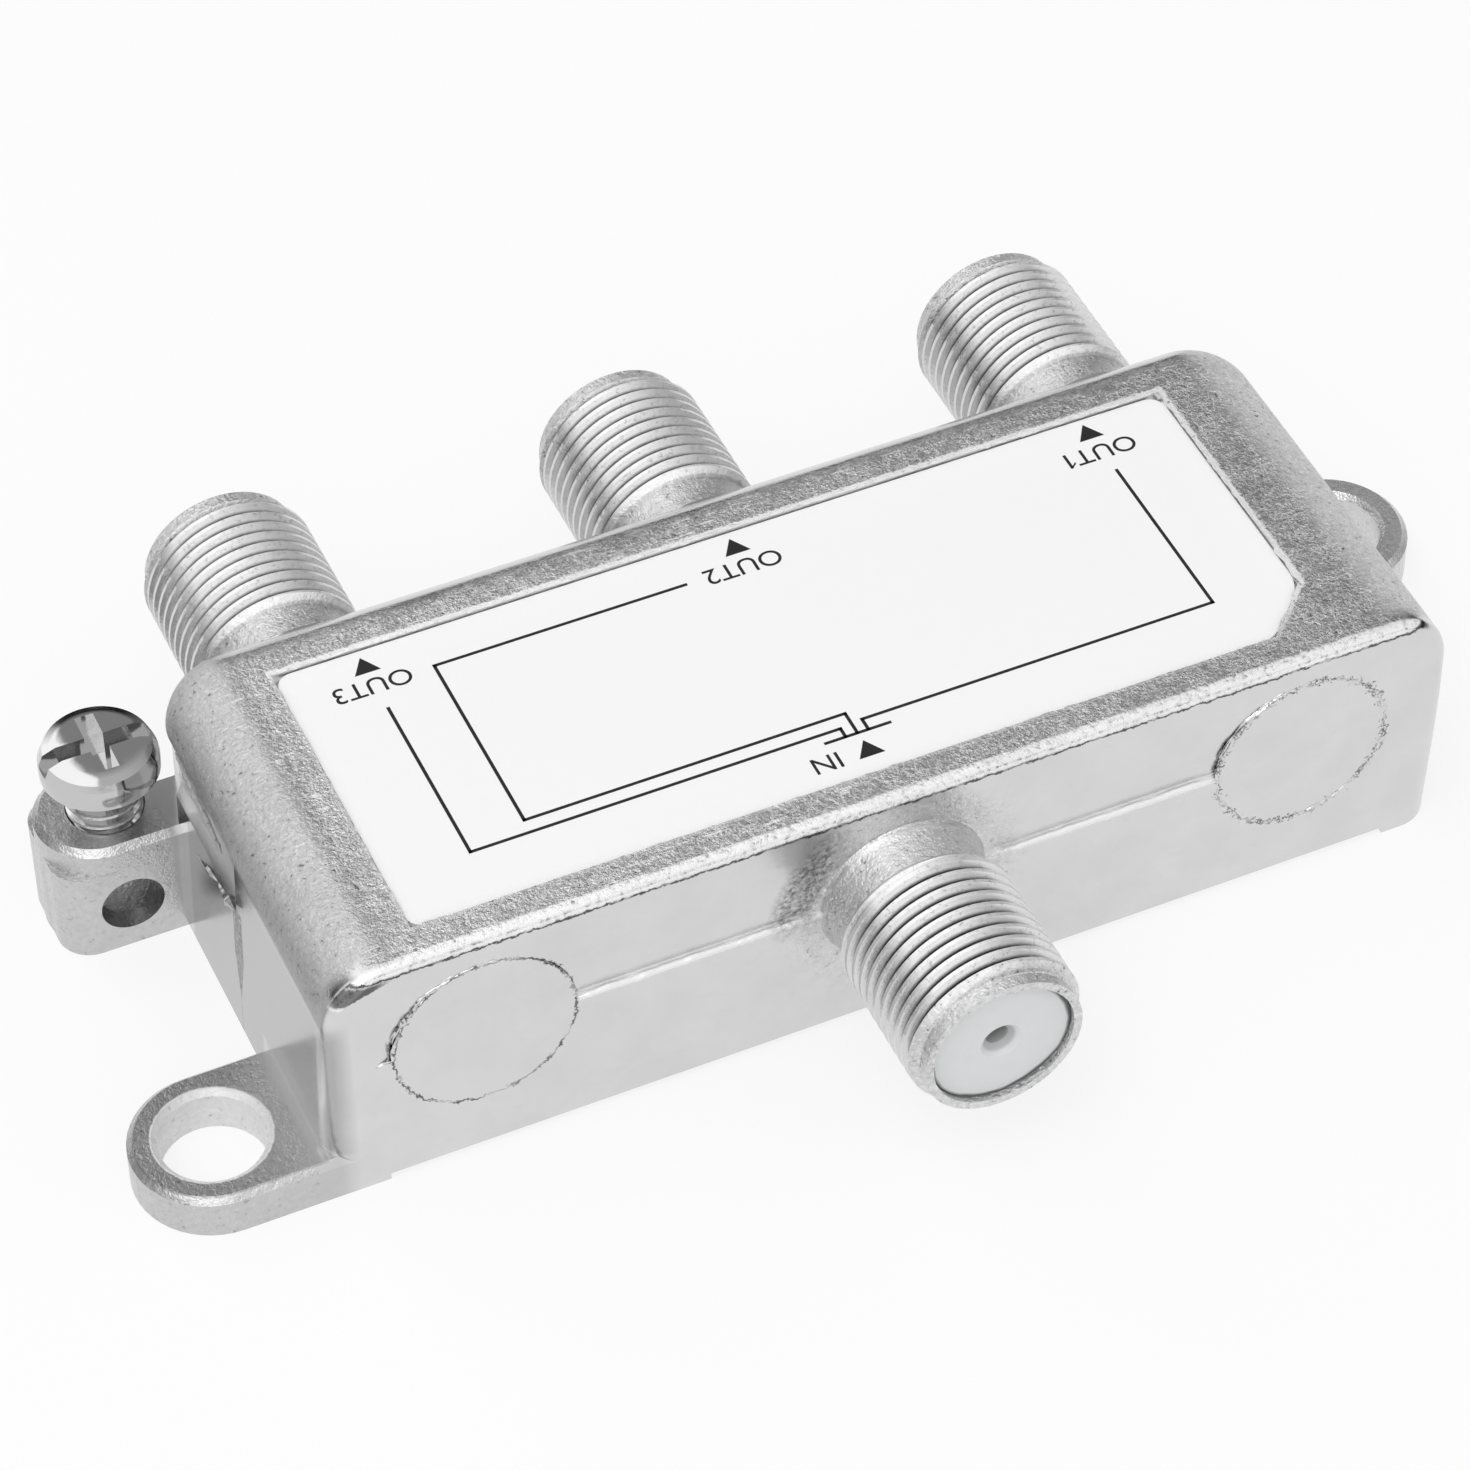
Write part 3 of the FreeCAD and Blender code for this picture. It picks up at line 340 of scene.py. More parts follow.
# How pale it is: a tone with clouds, with painted shade at the left end, on its wall and towards the right
# of the top. The left end's soft edge and the left ear's flat top get painted shade as well.
TONE = 0.68
TONE_CLOUDS = 0.14
PAINTED_SHADES = [
    [("x", -30.4, -29.4, 0.12, 0.0), ("z", 12.0, 12.7, 1.0, 0.0)],
    [("x", -30.4, -29.4, 0.13, 0.0), ("y", 6.5, 6.8, 1.0, 0.0), ("past_ear",), ("z", 11.4, 12.4, 1.0, 0.0)],
    [("x", -31.0, 31.0, -0.02, 0.16), ("top",)],
]
PAST_EAR = [[("z", 2.7, 2.9, 0.0, 1.0)], [("y", -3.6, -3.2, 0.0, 1.0)]]
TONE_GAIN = 0.25
MOTTLE = 0.7
# Painted shade: the left end's soft edge and the left ear's flat top are darker.
END_EDGE_SHADE = [[("z", 13.4, 14.8, 0.49, 0.84)], [("x", -28.4, -26.4, 0.0, 1.0)], [("z", 11.7, 12.5, 1.0, 0.0)],
            [("y", -12.2, -11.9, 1.0, 0.0)]]
EAR_TOP_SHADE = [("z", 2.5, 2.55, 0.0, 1.0), ("z", 2.65, 2.7, 1.0, 0.0), ("x", -30.95, -30.9, 0.24, 0.0),
            ("y", -4.0, -3.8, 1.0, 0.0), ("off_ring",)]
ROUGHNESS_GAIN = 0.12
ROUGHNESS_CLOUDS = (0.3, 0.7, 0.17, 0.25)

# Floor, lamp and world. The floor looks this white to the camera and in reflections.
FLOOR_WHITE = 0.8
FLOOR_COLOR = (0.9, 0.9, 0.9)
FLOOR_ROUGHNESS = 0.6
FLOOR_HALF = 800.0
FLOOR_DROP = 0.02
FLOOR_RAYS = ("Is Camera Ray", "Is Glossy Ray", "Is Transmission Ray")
WHITE = (1, 1, 1, 1)
LAMP_AT = (-160, -120, 330)
LAMP_TARGET = (0, 0, 8)
LAMP_SIZE = (300, 240)
LAMP_ENERGY = 0.25
STUDIO_FRONT = [("Y", -0.5, 0.45, 1.06, 0.34)]
STUDIO_STRIP = [("X", -0.6, -0.5, 0.0, 1.6), ("X", -0.08, 0.02, 1.0, 0.0)]
STUDIO_HORIZON = (0.1, 0.42, 0.06, 1.0)


def new_object(name, bm):
    """A mesh object made from a bmesh."""
    mesh = bpy.data.meshes.new(name)
    bm.to_mesh(mesh)
    bm.free()
    thing = bpy.data.objects.new(name, mesh)
    bpy.context.collection.objects.link(thing)
    return thing


def copy_of(node, name):
    """A copy of a CAD node's mesh, with its doubled corners joined and no normals of its own."""
    bm = bmesh.new()
    bm.from_mesh(nodes[node].data)
    bmesh.ops.remove_doubles(bm, verts=bm.verts, dist=JOINED)
    thing = new_object(name, bm)
    stored = thing.data.attributes.get("custom_normal")
    if stored:
        thing.data.attributes.remove(stored)
    return thing


def join_rings(bm, rings):
    """Side faces between rings of corners, each ring as long as the next."""
    sides = len(rings[0])
    for low, high in zip(rings, rings[1:]):
        for side in range(sides):
            after = (side + 1) % sides
            bm.faces.new((low[side], low[after], high[after], high[side]))


def helix_cutter(name, pitch, root, outer, start, end, mouth):
    """A thread's groove as a solid: a wedge swept along a helix about +Z, run out at its start.

    The wedge's narrow side lies at the root and its wide side past the crest.
    """
    bm = bmesh.new()
    turns = (end - start) / pitch
    count = int(turns * STEPS_PER_TURN)
    rings = []
    for step in range(count + 1):
        angle = 2 * math.pi * step / STEPS_PER_TURN
        middle = start + pitch * step / STEPS_PER_TURN
        depth = min(1.0, step / (RUN_OUT * STEPS_PER_TURN))
        inner = outer - (outer - root) * (RUN_OUT_DEPTH + (1 - RUN_OUT_DEPTH) * depth)
        ring = []
        outline = ((inner, -GROOVE_FLOOR), (inner, GROOVE_FLOOR), (outer, mouth), (outer, -mouth))
        for radius, offset in outline:
            spot = Vector((radius * math.cos(angle), radius * math.sin(angle), middle + offset * pitch))
            ring.append(bm.verts.new(spot * MM))
        rings.append(ring)
    join_rings(bm, rings)
    bm.faces.new(reversed(rings[0]))
    bm.faces.new(rings[-1])
    bmesh.ops.recalc_face_normals(bm, faces=bm.faces)
    return new_object(name, bm)


def subtract(thing, cutters):
    """Cuts the cutters out of a thing and deletes them."""
    for cutter in cutters:
        modifier = thing.modifiers.new("cut", "BOOLEAN")
        modifier.operation = "DIFFERENCE"
        modifier.solver = "MANIFOLD"
        modifier.object = cutter
    bpy.context.view_layer.update()
    evaluated = thing.evaluated_get(bpy.context.evaluated_depsgraph_get())
    mesh = bpy.data.meshes.new_from_object(evaluated)
    thing.modifiers.clear()
    thing.data = mesh
    for cutter in cutters:
        bpy.data.objects.remove(cutter)


def paint(thing, mat):
    """Gives a thing one material."""
    thing.data.materials.clear()
    thing.data.materials.append(mat)


def finish_surface(thing, mat):
    """Gives a thing a material and smooth shading, with creases at more than the crease angle."""
    paint(thing, mat)
    mesh = thing.data
    mesh.polygons.foreach_set("use_smooth", [True] * len(mesh.polygons))
    mesh.set_sharp_from_angle(angle=math.radians(CREASE_ANGLE))
    modifier = thing.modifiers.new("weighted", "WEIGHTED_NORMAL")
    modifier.keep_sharp = True
    modifier.weight = NORMAL_WEIGHT


def rotation(angle, axis):
    """The matrix of a turn in radians about an axis."""
    return Matrix.Rotation(angle, MATRIX_SIZE, axis)


def arc(centre, radius, start, end):
    """Points on a circle in the front wall, between two angles in degrees."""
    count = max(ARC_LEAST, round(abs(end - start) / ARC_STEP))
    angles = [math.radians(start + (end - start) * index / count) for index in range(count + 1)]
    return [(centre[0] + radius * math.cos(turn), centre[1], centre[2] + radius * math.sin(turn))
            for turn in angles]


def resampled(points, step):
    """Points at even steps along a path."""
    points = [Vector(point) for point in points]
    spots = []
    for one, other in zip(points, points[1:]):
        count = max(1, round((other - one).length / step))
        spots += [one.lerp(other, index / count) for index in range(count)]
    return spots + [points[-1]]


def rough_line(bm, points, face, tube, seed, wobble=FLASH_WOBBLE):
    """Flash along a path: a thin tube that swells and wanders, on a wall that faces a direction."""
    face = Vector(face)
    spots = resampled(points, FLASH_STEP)
    last = len(spots) - 1
    rings = []
    for index, spot in enumerate(spots):
        along = (spots[min(index + 1, last)] - spots[max(index - 1, 0)]).normalized()
        across = along.cross(face).normalized()
        broad = noise.noise(spot * SWELL_BROAD + Vector((seed, 0, 0)))
        swell = broad + SWELL_FINE_SHARE * noise.noise(spot * SWELL_FINE)
        thinned = min(1, (index + 0.5) / THIN_STEPS, (last - index + 0.5) / THIN_STEPS)
        thick = tube * max(THINNEST, 1 + wobble * swell) * thinned
        aside = noise.noise(spot * WANDER_TURNS + Vector((seed, WANDER_START, 0)))
        middle = spot + across * WANDER * aside
        ring = []
        for side in range(FLASH_SIDES):
            turn = 2 * math.pi * side / FLASH_SIDES
            corner = middle + thick * (math.cos(turn) * across + math.sin(turn) * face)
            corner.z = min(corner.z, TOP_Z)
            ring.append(bm.verts.new(corner * MM))
        rings.append(ring)
    join_rings(bm, rings)
    bm.faces.new(rings[0])
    bm.faces.new(list(reversed(rings[-1])))


# Shader nodes

def material(name, color, roughness, metallic=0.0):
    """A material, its node tree and its shader."""
    mat = bpy.data.materials.new(name)
    mat.use_nodes = True
    shader = mat.node_tree.nodes["Principled BSDF"]
    shader.inputs["Base Color"].default_value = (*color, 1)
    shader.inputs["Roughness"].default_value = roughness
    shader.inputs["Metallic"].default_value = metallic
    return mat, mat.node_tree, shader


def add_node(tree, kind, **values):
    """A shader node with some of its inputs or properties set by name."""
    node = tree.nodes.new(kind)
    for key, value in values.items():
        if key in node.inputs:
            node.inputs[key].default_value = value
        else:
            setattr(node, key, value)
    return node


def axes(tree):
    """The object's own X, Y and Z in millimetres."""
    place = tree.nodes.new("ShaderNodeTexCoord")
    scale = add_node(tree, "ShaderNodeVectorMath", operation="SCALE")
    scale.inputs["Scale"].default_value = 1 / MM
    tree.links.new(place.outputs["Object"], scale.inputs[0])
    split = tree.nodes.new("ShaderNodeSeparateXYZ")
    tree.links.new(scale.outputs["Vector"], split.inputs["Vector"])
    return split.outputs["X"], split.outputs["Y"], split.outputs["Z"]


def noise_at(tree, scale, detail=NOISE_DETAIL, roughness=NOISE_ROUGHNESS, stretch=None):
    """Noise in the object's own space, in turns per millimetre, stretched if asked."""
    place = tree.nodes.new("ShaderNodeTexCoord")
    source = place.outputs["Object"]
    if stretch:
        mapping = add_node(tree, "ShaderNodeMapping")
        mapping.inputs["Scale"].default_value = stretch
        tree.links.new(source, mapping.inputs["Vector"])
        source = mapping.outputs["Vector"]
    texture = add_node(tree, "ShaderNodeTexNoise", Scale=scale / MM, Detail=detail, Roughness=roughness)
    tree.links.new(source, texture.inputs["Vector"])
    return texture.outputs["Fac"]


def ramp(tree, source, low, high, low_value, high_value):
    """Maps a value between two bounds, held at both ends."""
    node = tree.nodes.new("ShaderNodeMapRange")
    for name, value in zip(RAMP_INPUTS, (low, high, low_value, high_value)):
        node.inputs[name].default_value = value
    tree.links.new(source, node.inputs["Value"])
    return node.outputs["Result"]


def combine(tree, operation, *values):
    """A math node on sockets or numbers."""
    node = add_node(tree, "ShaderNodeMath", operation=operation)
    for socket, value in zip(node.inputs, values):
        if isinstance(value, (int, float)):
            socket.default_value = value
        else:
            tree.links.new(value, socket)
    return node.outputs["Value"]


def product(tree, first, *others):
    """The product of sockets or numbers, the first of them a socket."""
    for other in others:
        first = combine(tree, "MULTIPLY", first, other)
    return first


def largest(tree, first, *others):
    """The largest of sockets or numbers, the first of them a socket."""
    for other in others:
        first = combine(tree, "MAXIMUM", first, other)
    return first


def scaled_sum(tree, source, factor, base):
    """A value times a factor, added to another value."""
    return combine(tree, "MULTIPLY_ADD", source, factor, base)


def centred(tree, source):
    """A noise moved from between 0 and 1 to either side of zero."""
    return combine(tree, "SUBTRACT", source, 0.5)


def rest(tree, source):
    """What a share leaves of the whole."""
    return combine(tree, "SUBTRACT", 1.0, source)


def apart(tree, source, middle):
    """The distance of a value from another."""
    return combine(tree, "ABSOLUTE", combine(tree, "SUBTRACT", source, middle))


def length(tree, one, other):
    """The length of the diagonal of two distances."""
    return combine(tree, "SQRT", combine(tree, "ADD", product(tree, one, one), product(tree, other, other)))


def masked(tree, at, bands):
    """A mask: the product of its bands on named values."""
    return product(tree, *[ramp(tree, at[name], *bounds) if bounds else at[name] for name, *bounds in bands])


def strongest(tree, at, masks):
    """The largest of some masks at each place."""
    return largest(tree, *[masked(tree, at, bands) for bands in masks])


def beside_port(tree, x):
    """The distance along X from the nearest port's axis, negative at its left."""
    return combine(tree, "WRAP", x, PORT_PITCH / 2, -PORT_PITCH / 2)


def port_radius(tree, x, z):
    """The distance from the axis of the nearest port."""
    return length(tree, beside_port(tree, x), combine(tree, "SUBTRACT", z, PORT_HEIGHT))


def past_label(tree, x, y):
    """The distance outside the label's outline, negative inside it."""
    along = combine(tree, "SUBTRACT", apart(tree, x, LABEL_X), LABEL_HALF_X)
    across = combine(tree, "SUBTRACT", apart(tree, y, LABEL_Y), LABEL_HALF_Y)
    cut = combine(tree, "SUBTRACT", combine(tree, "SUBTRACT", x, y), LABEL_CUT)
    return largest(tree, along, across, product(tree, cut, math.sqrt(0.5)))


def bump(tree, shader, height, strength, distance):
    """Relief from a height, as strong as asked and as deep in millimetres."""
    node = add_node(tree, "ShaderNodeBump", Strength=strength, Distance=distance * MM)
    tree.links.new(height, node.inputs["Height"])
    tree.links.new(node.outputs["Normal"], shader.inputs["Normal"])


def mix_colors(tree, factor, one, other):
    """A color between two, the first of which may come from a socket."""
    node = add_node(tree, "ShaderNodeMix", data_type="RGBA")
    tree.links.new(factor, node.inputs["Factor"])
    if isinstance(one, tuple):
        node.inputs["A"].default_value = (*one, 1)
    else:
        tree.links.new(one, node.inputs["A"])
    node.inputs["B"].default_value = (*other, 1)
    return node.outputs["Result"]


# Materials

def casting_values(tree):
    """The places and noises that the casting's masks go by."""
    x, y, z = axes(tree)
    at = {"x": x, "y": y, "z": z}
    at["far"] = combine(tree, "ABSOLUTE", x)
    at["out"] = combine(tree, "ABSOLUTE", y)
    at["beside"] = beside_port(tree, x)
    at["radius"] = port_radius(tree, x, z)
    for name, setting in CASTING_NOISE.items():
        at[name] = noise_at(tree, *setting)
    at["worm"] = combine(tree, "ABSOLUTE", centred(tree, at["worm"]))
    at["front"] = masked(tree, at, FRONT_WALL)
    at["top"] = masked(tree, at, TOP_FACE)
    at["amount"] = largest(tree, strongest(tree, at, ROUGH.values()), ROUGH_LEAST)
    return at


def wear_and_highlights(tree, at):
    """How much each place of the casting is lightened by scratches, painted highlights and painted glints.
    """
    grain = at["grain"]
    at["speckled"] = combine(tree, "MINIMUM", product(tree, at["amount"], at["amount"]), SPECKLED_MOST)
    at["past_label"] = scaled_sum(tree, centred(tree, grain), LIP_RAGGED, past_label(tree, at["x"], at["y"]))
    at["lip_side"] = strongest(tree, at, LIP_LIT_SIDES)
    at["fall"] = combine(tree, "ADD", ramp(tree, at["x"], *EDGE_FALL), at["z"])
    from_hole = length(tree, apart(tree, at["x"], EAR_X), apart(tree, at["y"], EAR_Y))
    at["from_hole"] = scaled_sum(tree, grain, EAR_RAGGED, from_hole)
    at["ear_ring"] = masked(tree, at, EAR_RING)
    return strongest(tree, at, WEAR_AND_HIGHLIGHTS.values())


def shade_and_pits(tree, at):
    """How much each place of the casting is darkened by painted shade and by pits."""
    grain = at["grain"]
    at["wavy"] = scaled_sum(tree, at["patches"], WAVY_PATCHES, scaled_sum(tree, grain, WAVY_GRAIN, at["z"]))
    at["deep"] = combine(tree, "ADD", at["wavy"], ramp(tree, at["x"], *CORNER_RISE))
    wander = product(tree, centred(tree, grain), ramp(tree, at["x"], *BLANK_WANDER))
    at["blank_radius"] = combine(tree, "ADD", wander, at["radius"])
    width = scaled_sum(tree, centred(tree, grain), CRACK_RAGGED, ramp(tree, at["z"], *CRACK_WIDTH))
    at["in_crack"] = combine(tree, "LESS_THAN", apart(tree, at["y"], CRACK_Y), width)
    at["below_top"] = combine(tree, "LESS_THAN", at["z"], CRACK_TOP)
    return strongest(tree, at, SHADE_AND_PITS.values())


def grey_with_painted_light(tree, at, bright):
    """The casting's grey with its scratches, painted highlights and painted shade, before the painted shade
    and pits that darken it further.
    """
    at["past_ear"] = strongest(tree, at, PAST_EAR)
    value = scaled_sum(tree, centred(tree, at["broad"]), TONE_CLOUDS, TONE)
    for bands in PAINTED_SHADES:
        value = combine(tree, "SUBTRACT", value, masked(tree, at, bands))
    value = scaled_sum(tree, bright, TONE_GAIN, value)
    mottle = scaled_sum(tree, centred(tree, at["grain"]), product(tree, at["amount"], MOTTLE), 1.0)
    at["off_ring"] = rest(tree, at["ear_ring"])
    # Painted shade on the left ear's flat top.
    ear = rest(tree, masked(tree, at, EAR_TOP_SHADE))
    return product(tree, value, mottle, strongest(tree, at, END_EDGE_SHADE), ear)


def casting_material():
    """Plated die casting: grained and scratched on top, satin at the ends, smoother on the walls, with
    painted highlights and painted shade in its colour.
    """
    mat, tree, shader = material("casting", CASTING_COLOR, CASTING_ROUGHNESS, 1.0)
    at = casting_values(tree)
    relief = combine(tree, "SUBTRACT", scaled_sum(tree, at["fine"], RELIEF_FINE, at["grain"]), RELIEF_MIDDLE)
    bump(tree, shader, product(tree, relief, at["amount"]), RELIEF_STRENGTH, RELIEF_DEPTH)
    # Scratches, painted highlights and painted glints lighten the grey; painted shade darkens it.
    bright = wear_and_highlights(tree, at)
    value = product(tree, grey_with_painted_light(tree, at, bright), rest(tree, shade_and_pits(tree, at)))
    tree.links.new(value, shader.inputs["Base Color"])
    satin = masked(tree, at, SATIN)
    tree.links.new(rest(tree, largest(tree, bright, satin)), shader.inputs["Metallic"])
    rough = scaled_sum(tree, at["amount"], ROUGHNESS_GAIN, ramp(tree, at["broad"], *ROUGHNESS_CLOUDS))
    tree.links.new(rough, shader.inputs["Roughness"])
    return mat


def metal(name, color, roughness):
    """A bare metal with a cloudy shine."""
    mat, tree, shader = material(name, color, roughness, 1.0)
    cloud = noise_at(tree, METAL_GRAIN)
    spread = [roughness * share for share in METAL_SPREAD]
    tree.links.new(ramp(tree, cloud, *CLOUD, *spread), shader.inputs["Roughness"])
    bump(tree, shader, cloud, METAL_RELIEF, METAL_DEPTH)
    return mat


def plastic(name, color, roughness, grain, depth, vary):
    """A plastic, film or ceramic, a little cloudy in color and shine."""
    mat, tree, shader = material(name, color, roughness)
    cloud = noise_at(tree, grain)
    darker = tuple(part * (1 - vary) for part in color)
    tree.links.new(mix_colors(tree, cloud, color, darker), shader.inputs["Base Color"])
    spread = [roughness * share for share in PLASTIC_SPREAD]
    tree.links.new(ramp(tree, cloud, *CLOUD, *spread), shader.inputs["Roughness"])
    bump(tree, shader, cloud, PLASTIC_RELIEF, depth)
    return mat


def make_milky(mat):
    """Lets light into the insulators' plastic and paints shade on it where its rim sinks below the port's,
    and in its hole.
    """
    tree = mat.node_tree
    shader = tree.nodes["Principled BSDF"]
    x, y, z = axes(tree)
    radius = port_radius(tree, x, z)
    ragged = scaled_sum(tree, noise_at(tree, *INSULATOR_NOISE), INSULATOR_RAGGED, radius)
    at = {"radius": radius, "ragged": ragged, "out": combine(tree, "ABSOLUTE", y)}
    # Painted shade at the insulator's sunken rim and in its hole.
    edge = strongest(tree, at, INSULATOR_PAINTED_SHADE)
    base = shader.inputs["Base Color"].links[0].from_socket
    tree.links.new(mix_colors(tree, edge, base, INSULATOR_SHADE), shader.inputs["Base Color"])
    shader.inputs["Subsurface Weight"].default_value = MILKY
    shader.inputs["Subsurface Radius"].default_value = MILKY_RADIUS
    shader.inputs["Subsurface Scale"].default_value = MILKY_DEPTH * MM


def dress(node, mat):
    """Gives a CAD node a material."""
    slots = nodes[node].material_slots
    if len(slots):
        for slot in slots:
            slot.material = mat
    else:
        nodes[node].data.materials.append(mat)


casting = casting_material()
finishes = {name: metal(name, *values) for name, values in METALS.items()}
finishes.update({name: plastic(name, *values) for name, values in PLASTICS.items()})
make_milky(finishes["insulator_plastic"])
for entry in frame["record"]["subparts"]:
    if entry["material_slot"] in finishes:
        dress(entry["node"], finishes[entry["material_slot"]])


# Housing: the casting with its port threads and its flash

def port_frame(x, way):
    """The matrix that stands a port's axis, made along +Z from the wall, in its place."""
    foot = Vector((x, HALF_WIDTH * way, PORT_HEIGHT)) * MM
    return Matrix.Translation(foot) @ rotation(-math.pi / 2 * way, "X")


def add_flash(bm):
    """The rough lines that the mould and the trimming left on the casting."""
    for index, x in enumerate(BLANKS):
        centre = (x, WALL_Y, PORT_HEIGHT)
        for wider, start, end, tube, gain, step, first in BLANK_FLASH:
            line = arc(centre, BLANK_RADIUS + wider, start, end)
            rough_line(bm, line, FORWARD, tube + gain * index, index * step + first)
    for index, ends in enumerate(PARTINGS):
        line = [(x, WALL_Y + PARTING_OUT, PORT_HEIGHT) for x in ends]
        rough_line(bm, line, FORWARD, PARTING_TUBE, index * PARTING_NOISE, PARTING_WOBBLE)
    for path, face, tube, seed in FLASH:
        rough_line(bm, path, face, tube, seed)


def housing():
    """The casting, cut by the threads of its four ports."""
    thing = copy_of("housing", "housing_casting")
    cutters = []
    for name, x, way in PORTS:
        cutter = helix_cutter(f"{name}_groove", THREAD_PITCH, THREAD_ROOT, THREAD_CREST + THREAD_PAST_CREST,
                              THREAD_START, THREAD_END, THREAD_MOUTH)
        cutter.data.transform(port_frame(x, way))
        cutters.append(cutter)
    subtract(thing, cutters)
    bm = bmesh.new()
    bm.from_mesh(thing.data)
    add_flash(bm)
    bm.to_mesh(thing.data)
    bm.free()
    finish_surface(thing, casting)
    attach(thing, "splitter")
    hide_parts("housing")


def earth_screw():
    """The earth screw, cut by its thread."""
    thing = copy_of("ground_screw", "earth_screw")
    root = SCREW_RADIUS - SCREW_DEPTH
    outer = SCREW_RADIUS + SCREW_PAST_CREST
    cutter = helix_cutter("screw_groove", SCREW_PITCH, root, outer,
                          -SCREW_LENGTH - SCREW_PITCH, -SCREW_PITCH * SCREW_TOP, SCREW_MOUTH)
    cutter.data.transform(Matrix.Translation(Vector((SCREW_X, SCREW_Y, SCREW_SEAT)) * MM))
    subtract(thing, [cutter])
    finish_surface(thing, finishes["screw_metal"])
    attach(thing, "screw")
    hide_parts("ground_screw")


# Label and its print

def label():
    """The printed film, with its corners a little rounded."""
    thing = copy_of("label", "label_film_piece")
    bm = bmesh.new()
    bm.from_mesh(thing.data)
    upright = [edge for edge in bm.edges
               if (edge.verts[0].co.xy - edge.verts[1].co.xy).length < FLAT]
    bmesh.ops.bevel(bm, geom=upright, offset=LABEL_ROUNDING * MM, segments=LABEL_STEPS,
                    profile=ROUND_PROFILE, affect="EDGES")
    bm.to_mesh(thing.data)
    bm.free()
    finish_surface(thing, finishes["label_film"])
    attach(thing, "splitter")
    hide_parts("label")


def prism(bm, corners):
    """A printed shape with straight sides, given its corners in order."""
    heights = (PRINT_Z, PRINT_Z + PRINT_THICKNESS)
    rings = [[bm.verts.new(Vector((x, y, z)) * MM) for x, y in corners] for z in heights]
    bm.faces.new(list(reversed(rings[0])))
    bm.faces.new(rings[1])
    join_rings(bm, rings)


def printed_lines():
    """The lines that join the input to the three outputs, and an arrow at each port."""
    bm = bmesh.new()
    half = LINE_WIDTH / 2
    for route in ROUTES:
        for (x_1, y_1), (x_2, y_2) in zip(route, route[1:]):
            left, right = min(x_1, x_2) - half, max(x_1, x_2) + half
            near, far = min(y_1, y_2) - half, max(y_1, y_2) + half
            prism(bm, [(left, near), (right, near), (right, far), (left, far)])
    for x, tip in ARROWS:
        base = tip - ARROW_HEIGHT
        prism(bm, [(x - ARROW_WIDTH / 2, base), (x + ARROW_WIDTH / 2, base), (x, tip)])
    return new_object("printed_lines", bm)


def printed_word(text, x, y):
    """A word in plain capitals, centred on a point and read from the outputs' side."""
    curve = bpy.data.curves.new(text, "FONT")
    curve.body = text
    curve.align_x = "CENTER"
    curve.align_y = "CENTER"
    curve.size = CAP_HEIGHT / CAP_SHARE * MM
    curve.extrude = PRINT_THICKNESS / 2 * MM
    letters = bpy.data.objects.new(text, curve)
    mesh = bpy.data.meshes.new_from_object(letters)
    bpy.data.objects.remove(letters)
    place = Vector((x, y, PRINT_Z + PRINT_THICKNESS / 2)) * MM
    wider = Matrix.Diagonal((WORD_STRETCH, 1, 1, 1))
    mesh.transform(Matrix.Translation(place) @ rotation(math.pi, "Z") @ wider)
    bm = bmesh.new()
    bm.from_mesh(mesh)
    if text.endswith("1"):
        stem = min(corner.co.x for corner in bm.verts) / MM
        top = y - CAP_HEIGHT / 2
        prism(bm, [(stem, top), (stem + STROKE, top), (stem + FLAG[0], top + FLAG[1] - STROKE),
                   (stem + FLAG[0], top + FLAG[1])])
    return new_object(f"printed_{text.lower()}", bm)


def label_print():
    """The print as thin solids on the label."""
    for thing in [printed_lines()] + [printed_word(*word) for word in WORDS]:
        paint(thing, finishes["label_ink"])
        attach(thing, "splitter")


housing()
earth_screw()
label()
label_print()


# Floor, light and camera

def floor_material():
    """A pale floor that keeps most of its brightness in the object's shadow."""
    mat, tree, shader = material("floor", FLOOR_COLOR, FLOOR_ROUGHNESS)
    light_path = tree.nodes.new("ShaderNodeLightPath")
    white = add_node(tree, "ShaderNodeEmission", Strength=1.0)
    white.inputs["Color"].default_value = WHITE
    seen = largest(tree, *[light_path.outputs[name] for name in FLOOR_RAYS])
    mix = tree.nodes.new("ShaderNodeMixShader")
    out = tree.nodes["Material Output"]
    tree.links.new(product(tree, seen, FLOOR_WHITE), mix.inputs["Fac"])
    tree.links.new(shader.outputs["BSDF"], mix.inputs[1])
    tree.links.new(white.outputs["Emission"], mix.inputs[2])
    tree.links.new(mix.outputs["Shader"], out.inputs["Surface"])
    return mat


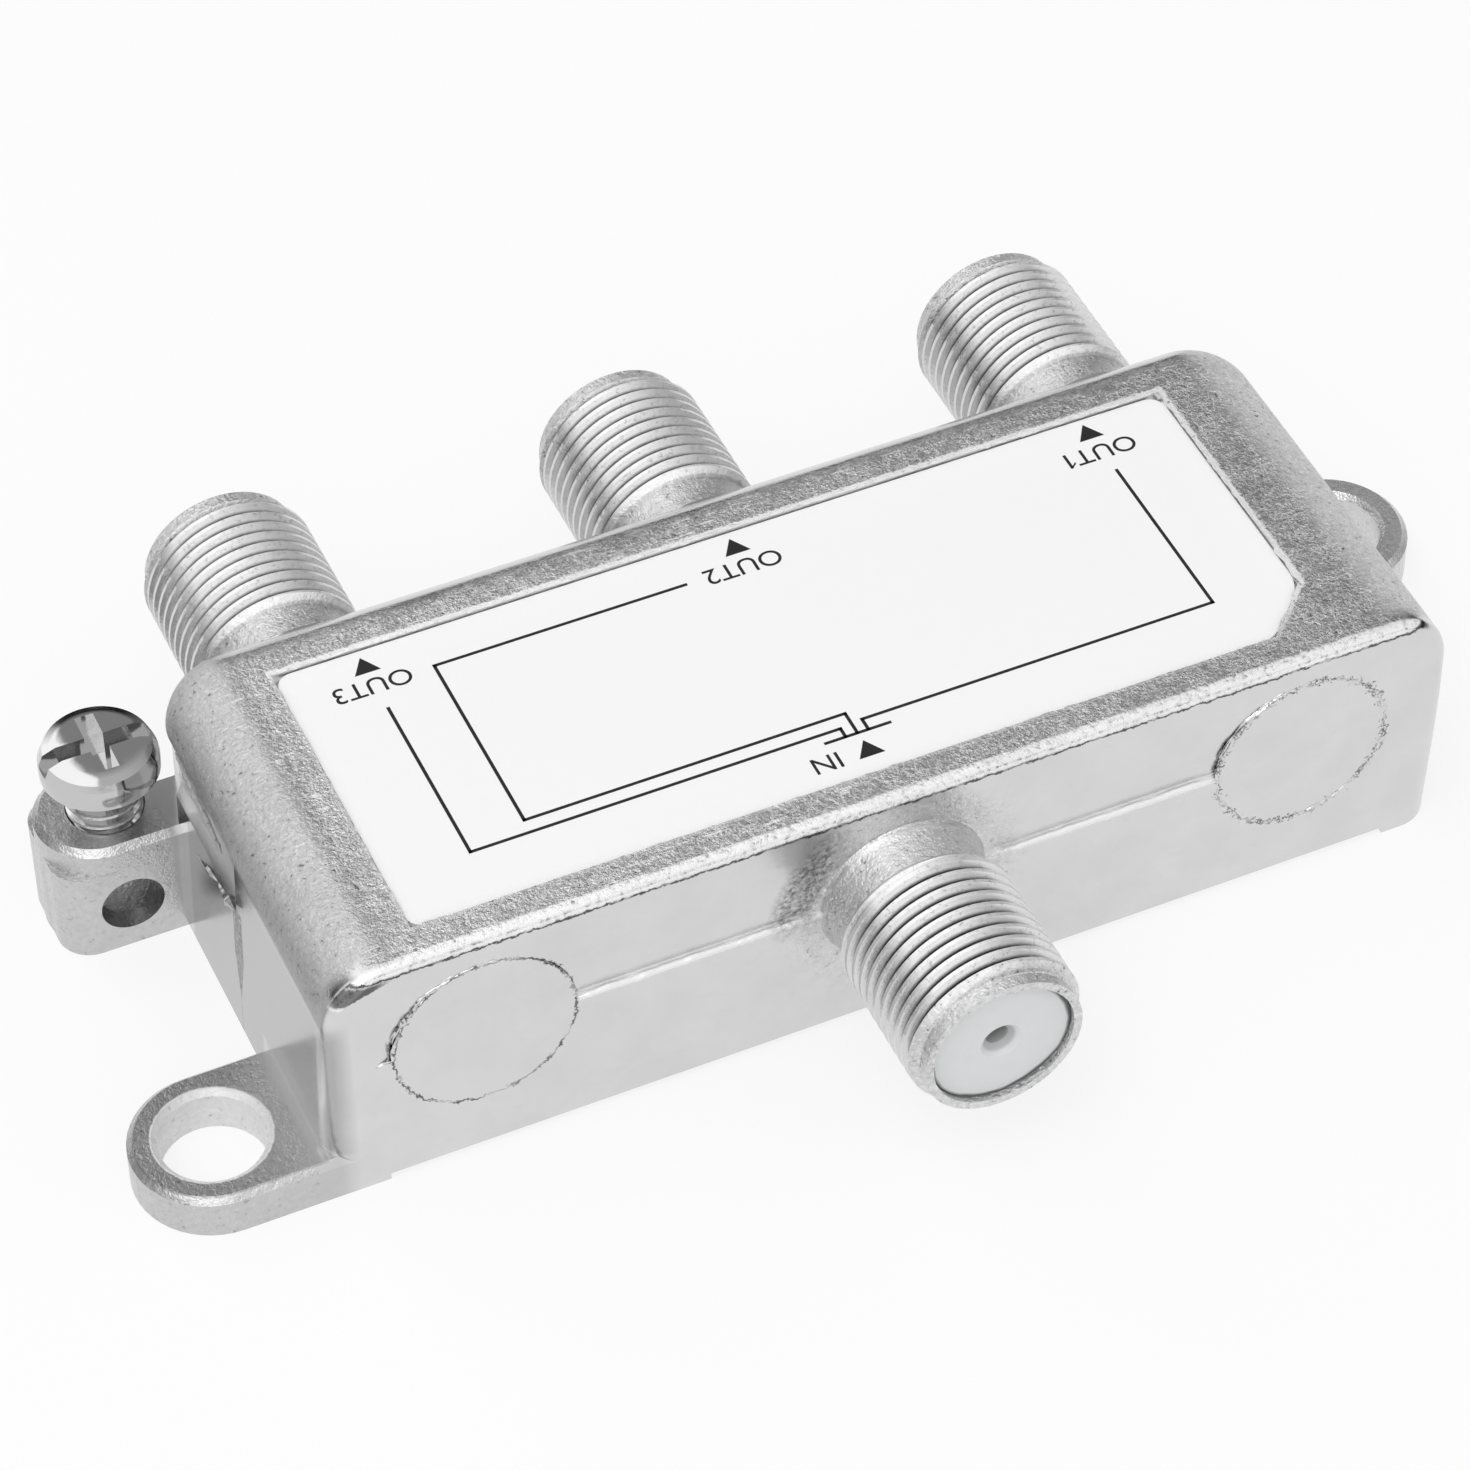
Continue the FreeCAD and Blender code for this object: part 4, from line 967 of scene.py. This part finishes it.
def floor():
    """The floor, just under the splitter."""
    bm = bmesh.new()
    bmesh.ops.create_grid(bm, x_segments=1, y_segments=1, size=FLOOR_HALF * MM)
    thing = new_object("floor", bm)
    thing.data.materials.append(floor_material())
    thing.location.z = -FLOOR_DROP * MM


def lamp():
    """A large soft lamp above, in front and at the left."""
    data = bpy.data.lights.new("key", "AREA")
    data.shape = "RECTANGLE"
    data.size = LAMP_SIZE[0] * MM
    data.size_y = LAMP_SIZE[1] * MM
    data.energy = LAMP_ENERGY
    thing = bpy.data.objects.new("key", data)
    thing.location = Vector(LAMP_AT) * MM
    aim = (Vector(LAMP_TARGET) - Vector(LAMP_AT)).normalized()
    thing.rotation_euler = aim.to_track_quat("-Z", "Y").to_euler()
    bpy.context.collection.objects.link(thing)


def world():
    """A plain studio: bright in front, a long soft light at the left, grey behind, dark at the horizon."""
    scene_world = bpy.data.worlds.new("studio")
    bpy.context.scene.world = scene_world
    scene_world.use_nodes = True
    tree = scene_world.node_tree
    back = tree.nodes["Background"]
    place = tree.nodes.new("ShaderNodeTexCoord")
    split = tree.nodes.new("ShaderNodeSeparateXYZ")
    tree.links.new(place.outputs["Generated"], split.inputs["Vector"])
    light = strongest(tree, split.outputs, [STUDIO_FRONT, STUDIO_STRIP])
    horizon = ramp(tree, split.outputs["Z"], *STUDIO_HORIZON)
    tree.links.new(product(tree, light, horizon), back.inputs["Strength"])
    back.inputs["Color"].default_value = WHITE


def camera():
    """The camera that took the photograph."""
    data = bpy.data.cameras.new("photo_camera")
    data.lens = CAMERA_LENS
    data.sensor_width = CAMERA_SENSOR
    data.clip_start = CAMERA_NEAR * MM
    thing = bpy.data.objects.new("photo_camera", data)
    thing.location = Vector(CAMERA_AT) * MM
    tilt = rotation(math.radians(RIGHT_ANGLE - CAMERA_ELEVATION), "X")
    heading = rotation(math.radians(-CAMERA_AZIMUTH), "Z")
    roll = rotation(math.radians(CAMERA_ROLL), "Z")
    thing.rotation_euler = (heading @ tilt @ roll).to_euler()
    bpy.context.collection.objects.link(thing)
    bpy.context.scene.camera = thing


floor()
world()
lamp()
camera()
bpy.context.scene.view_settings.view_transform = "Standard"
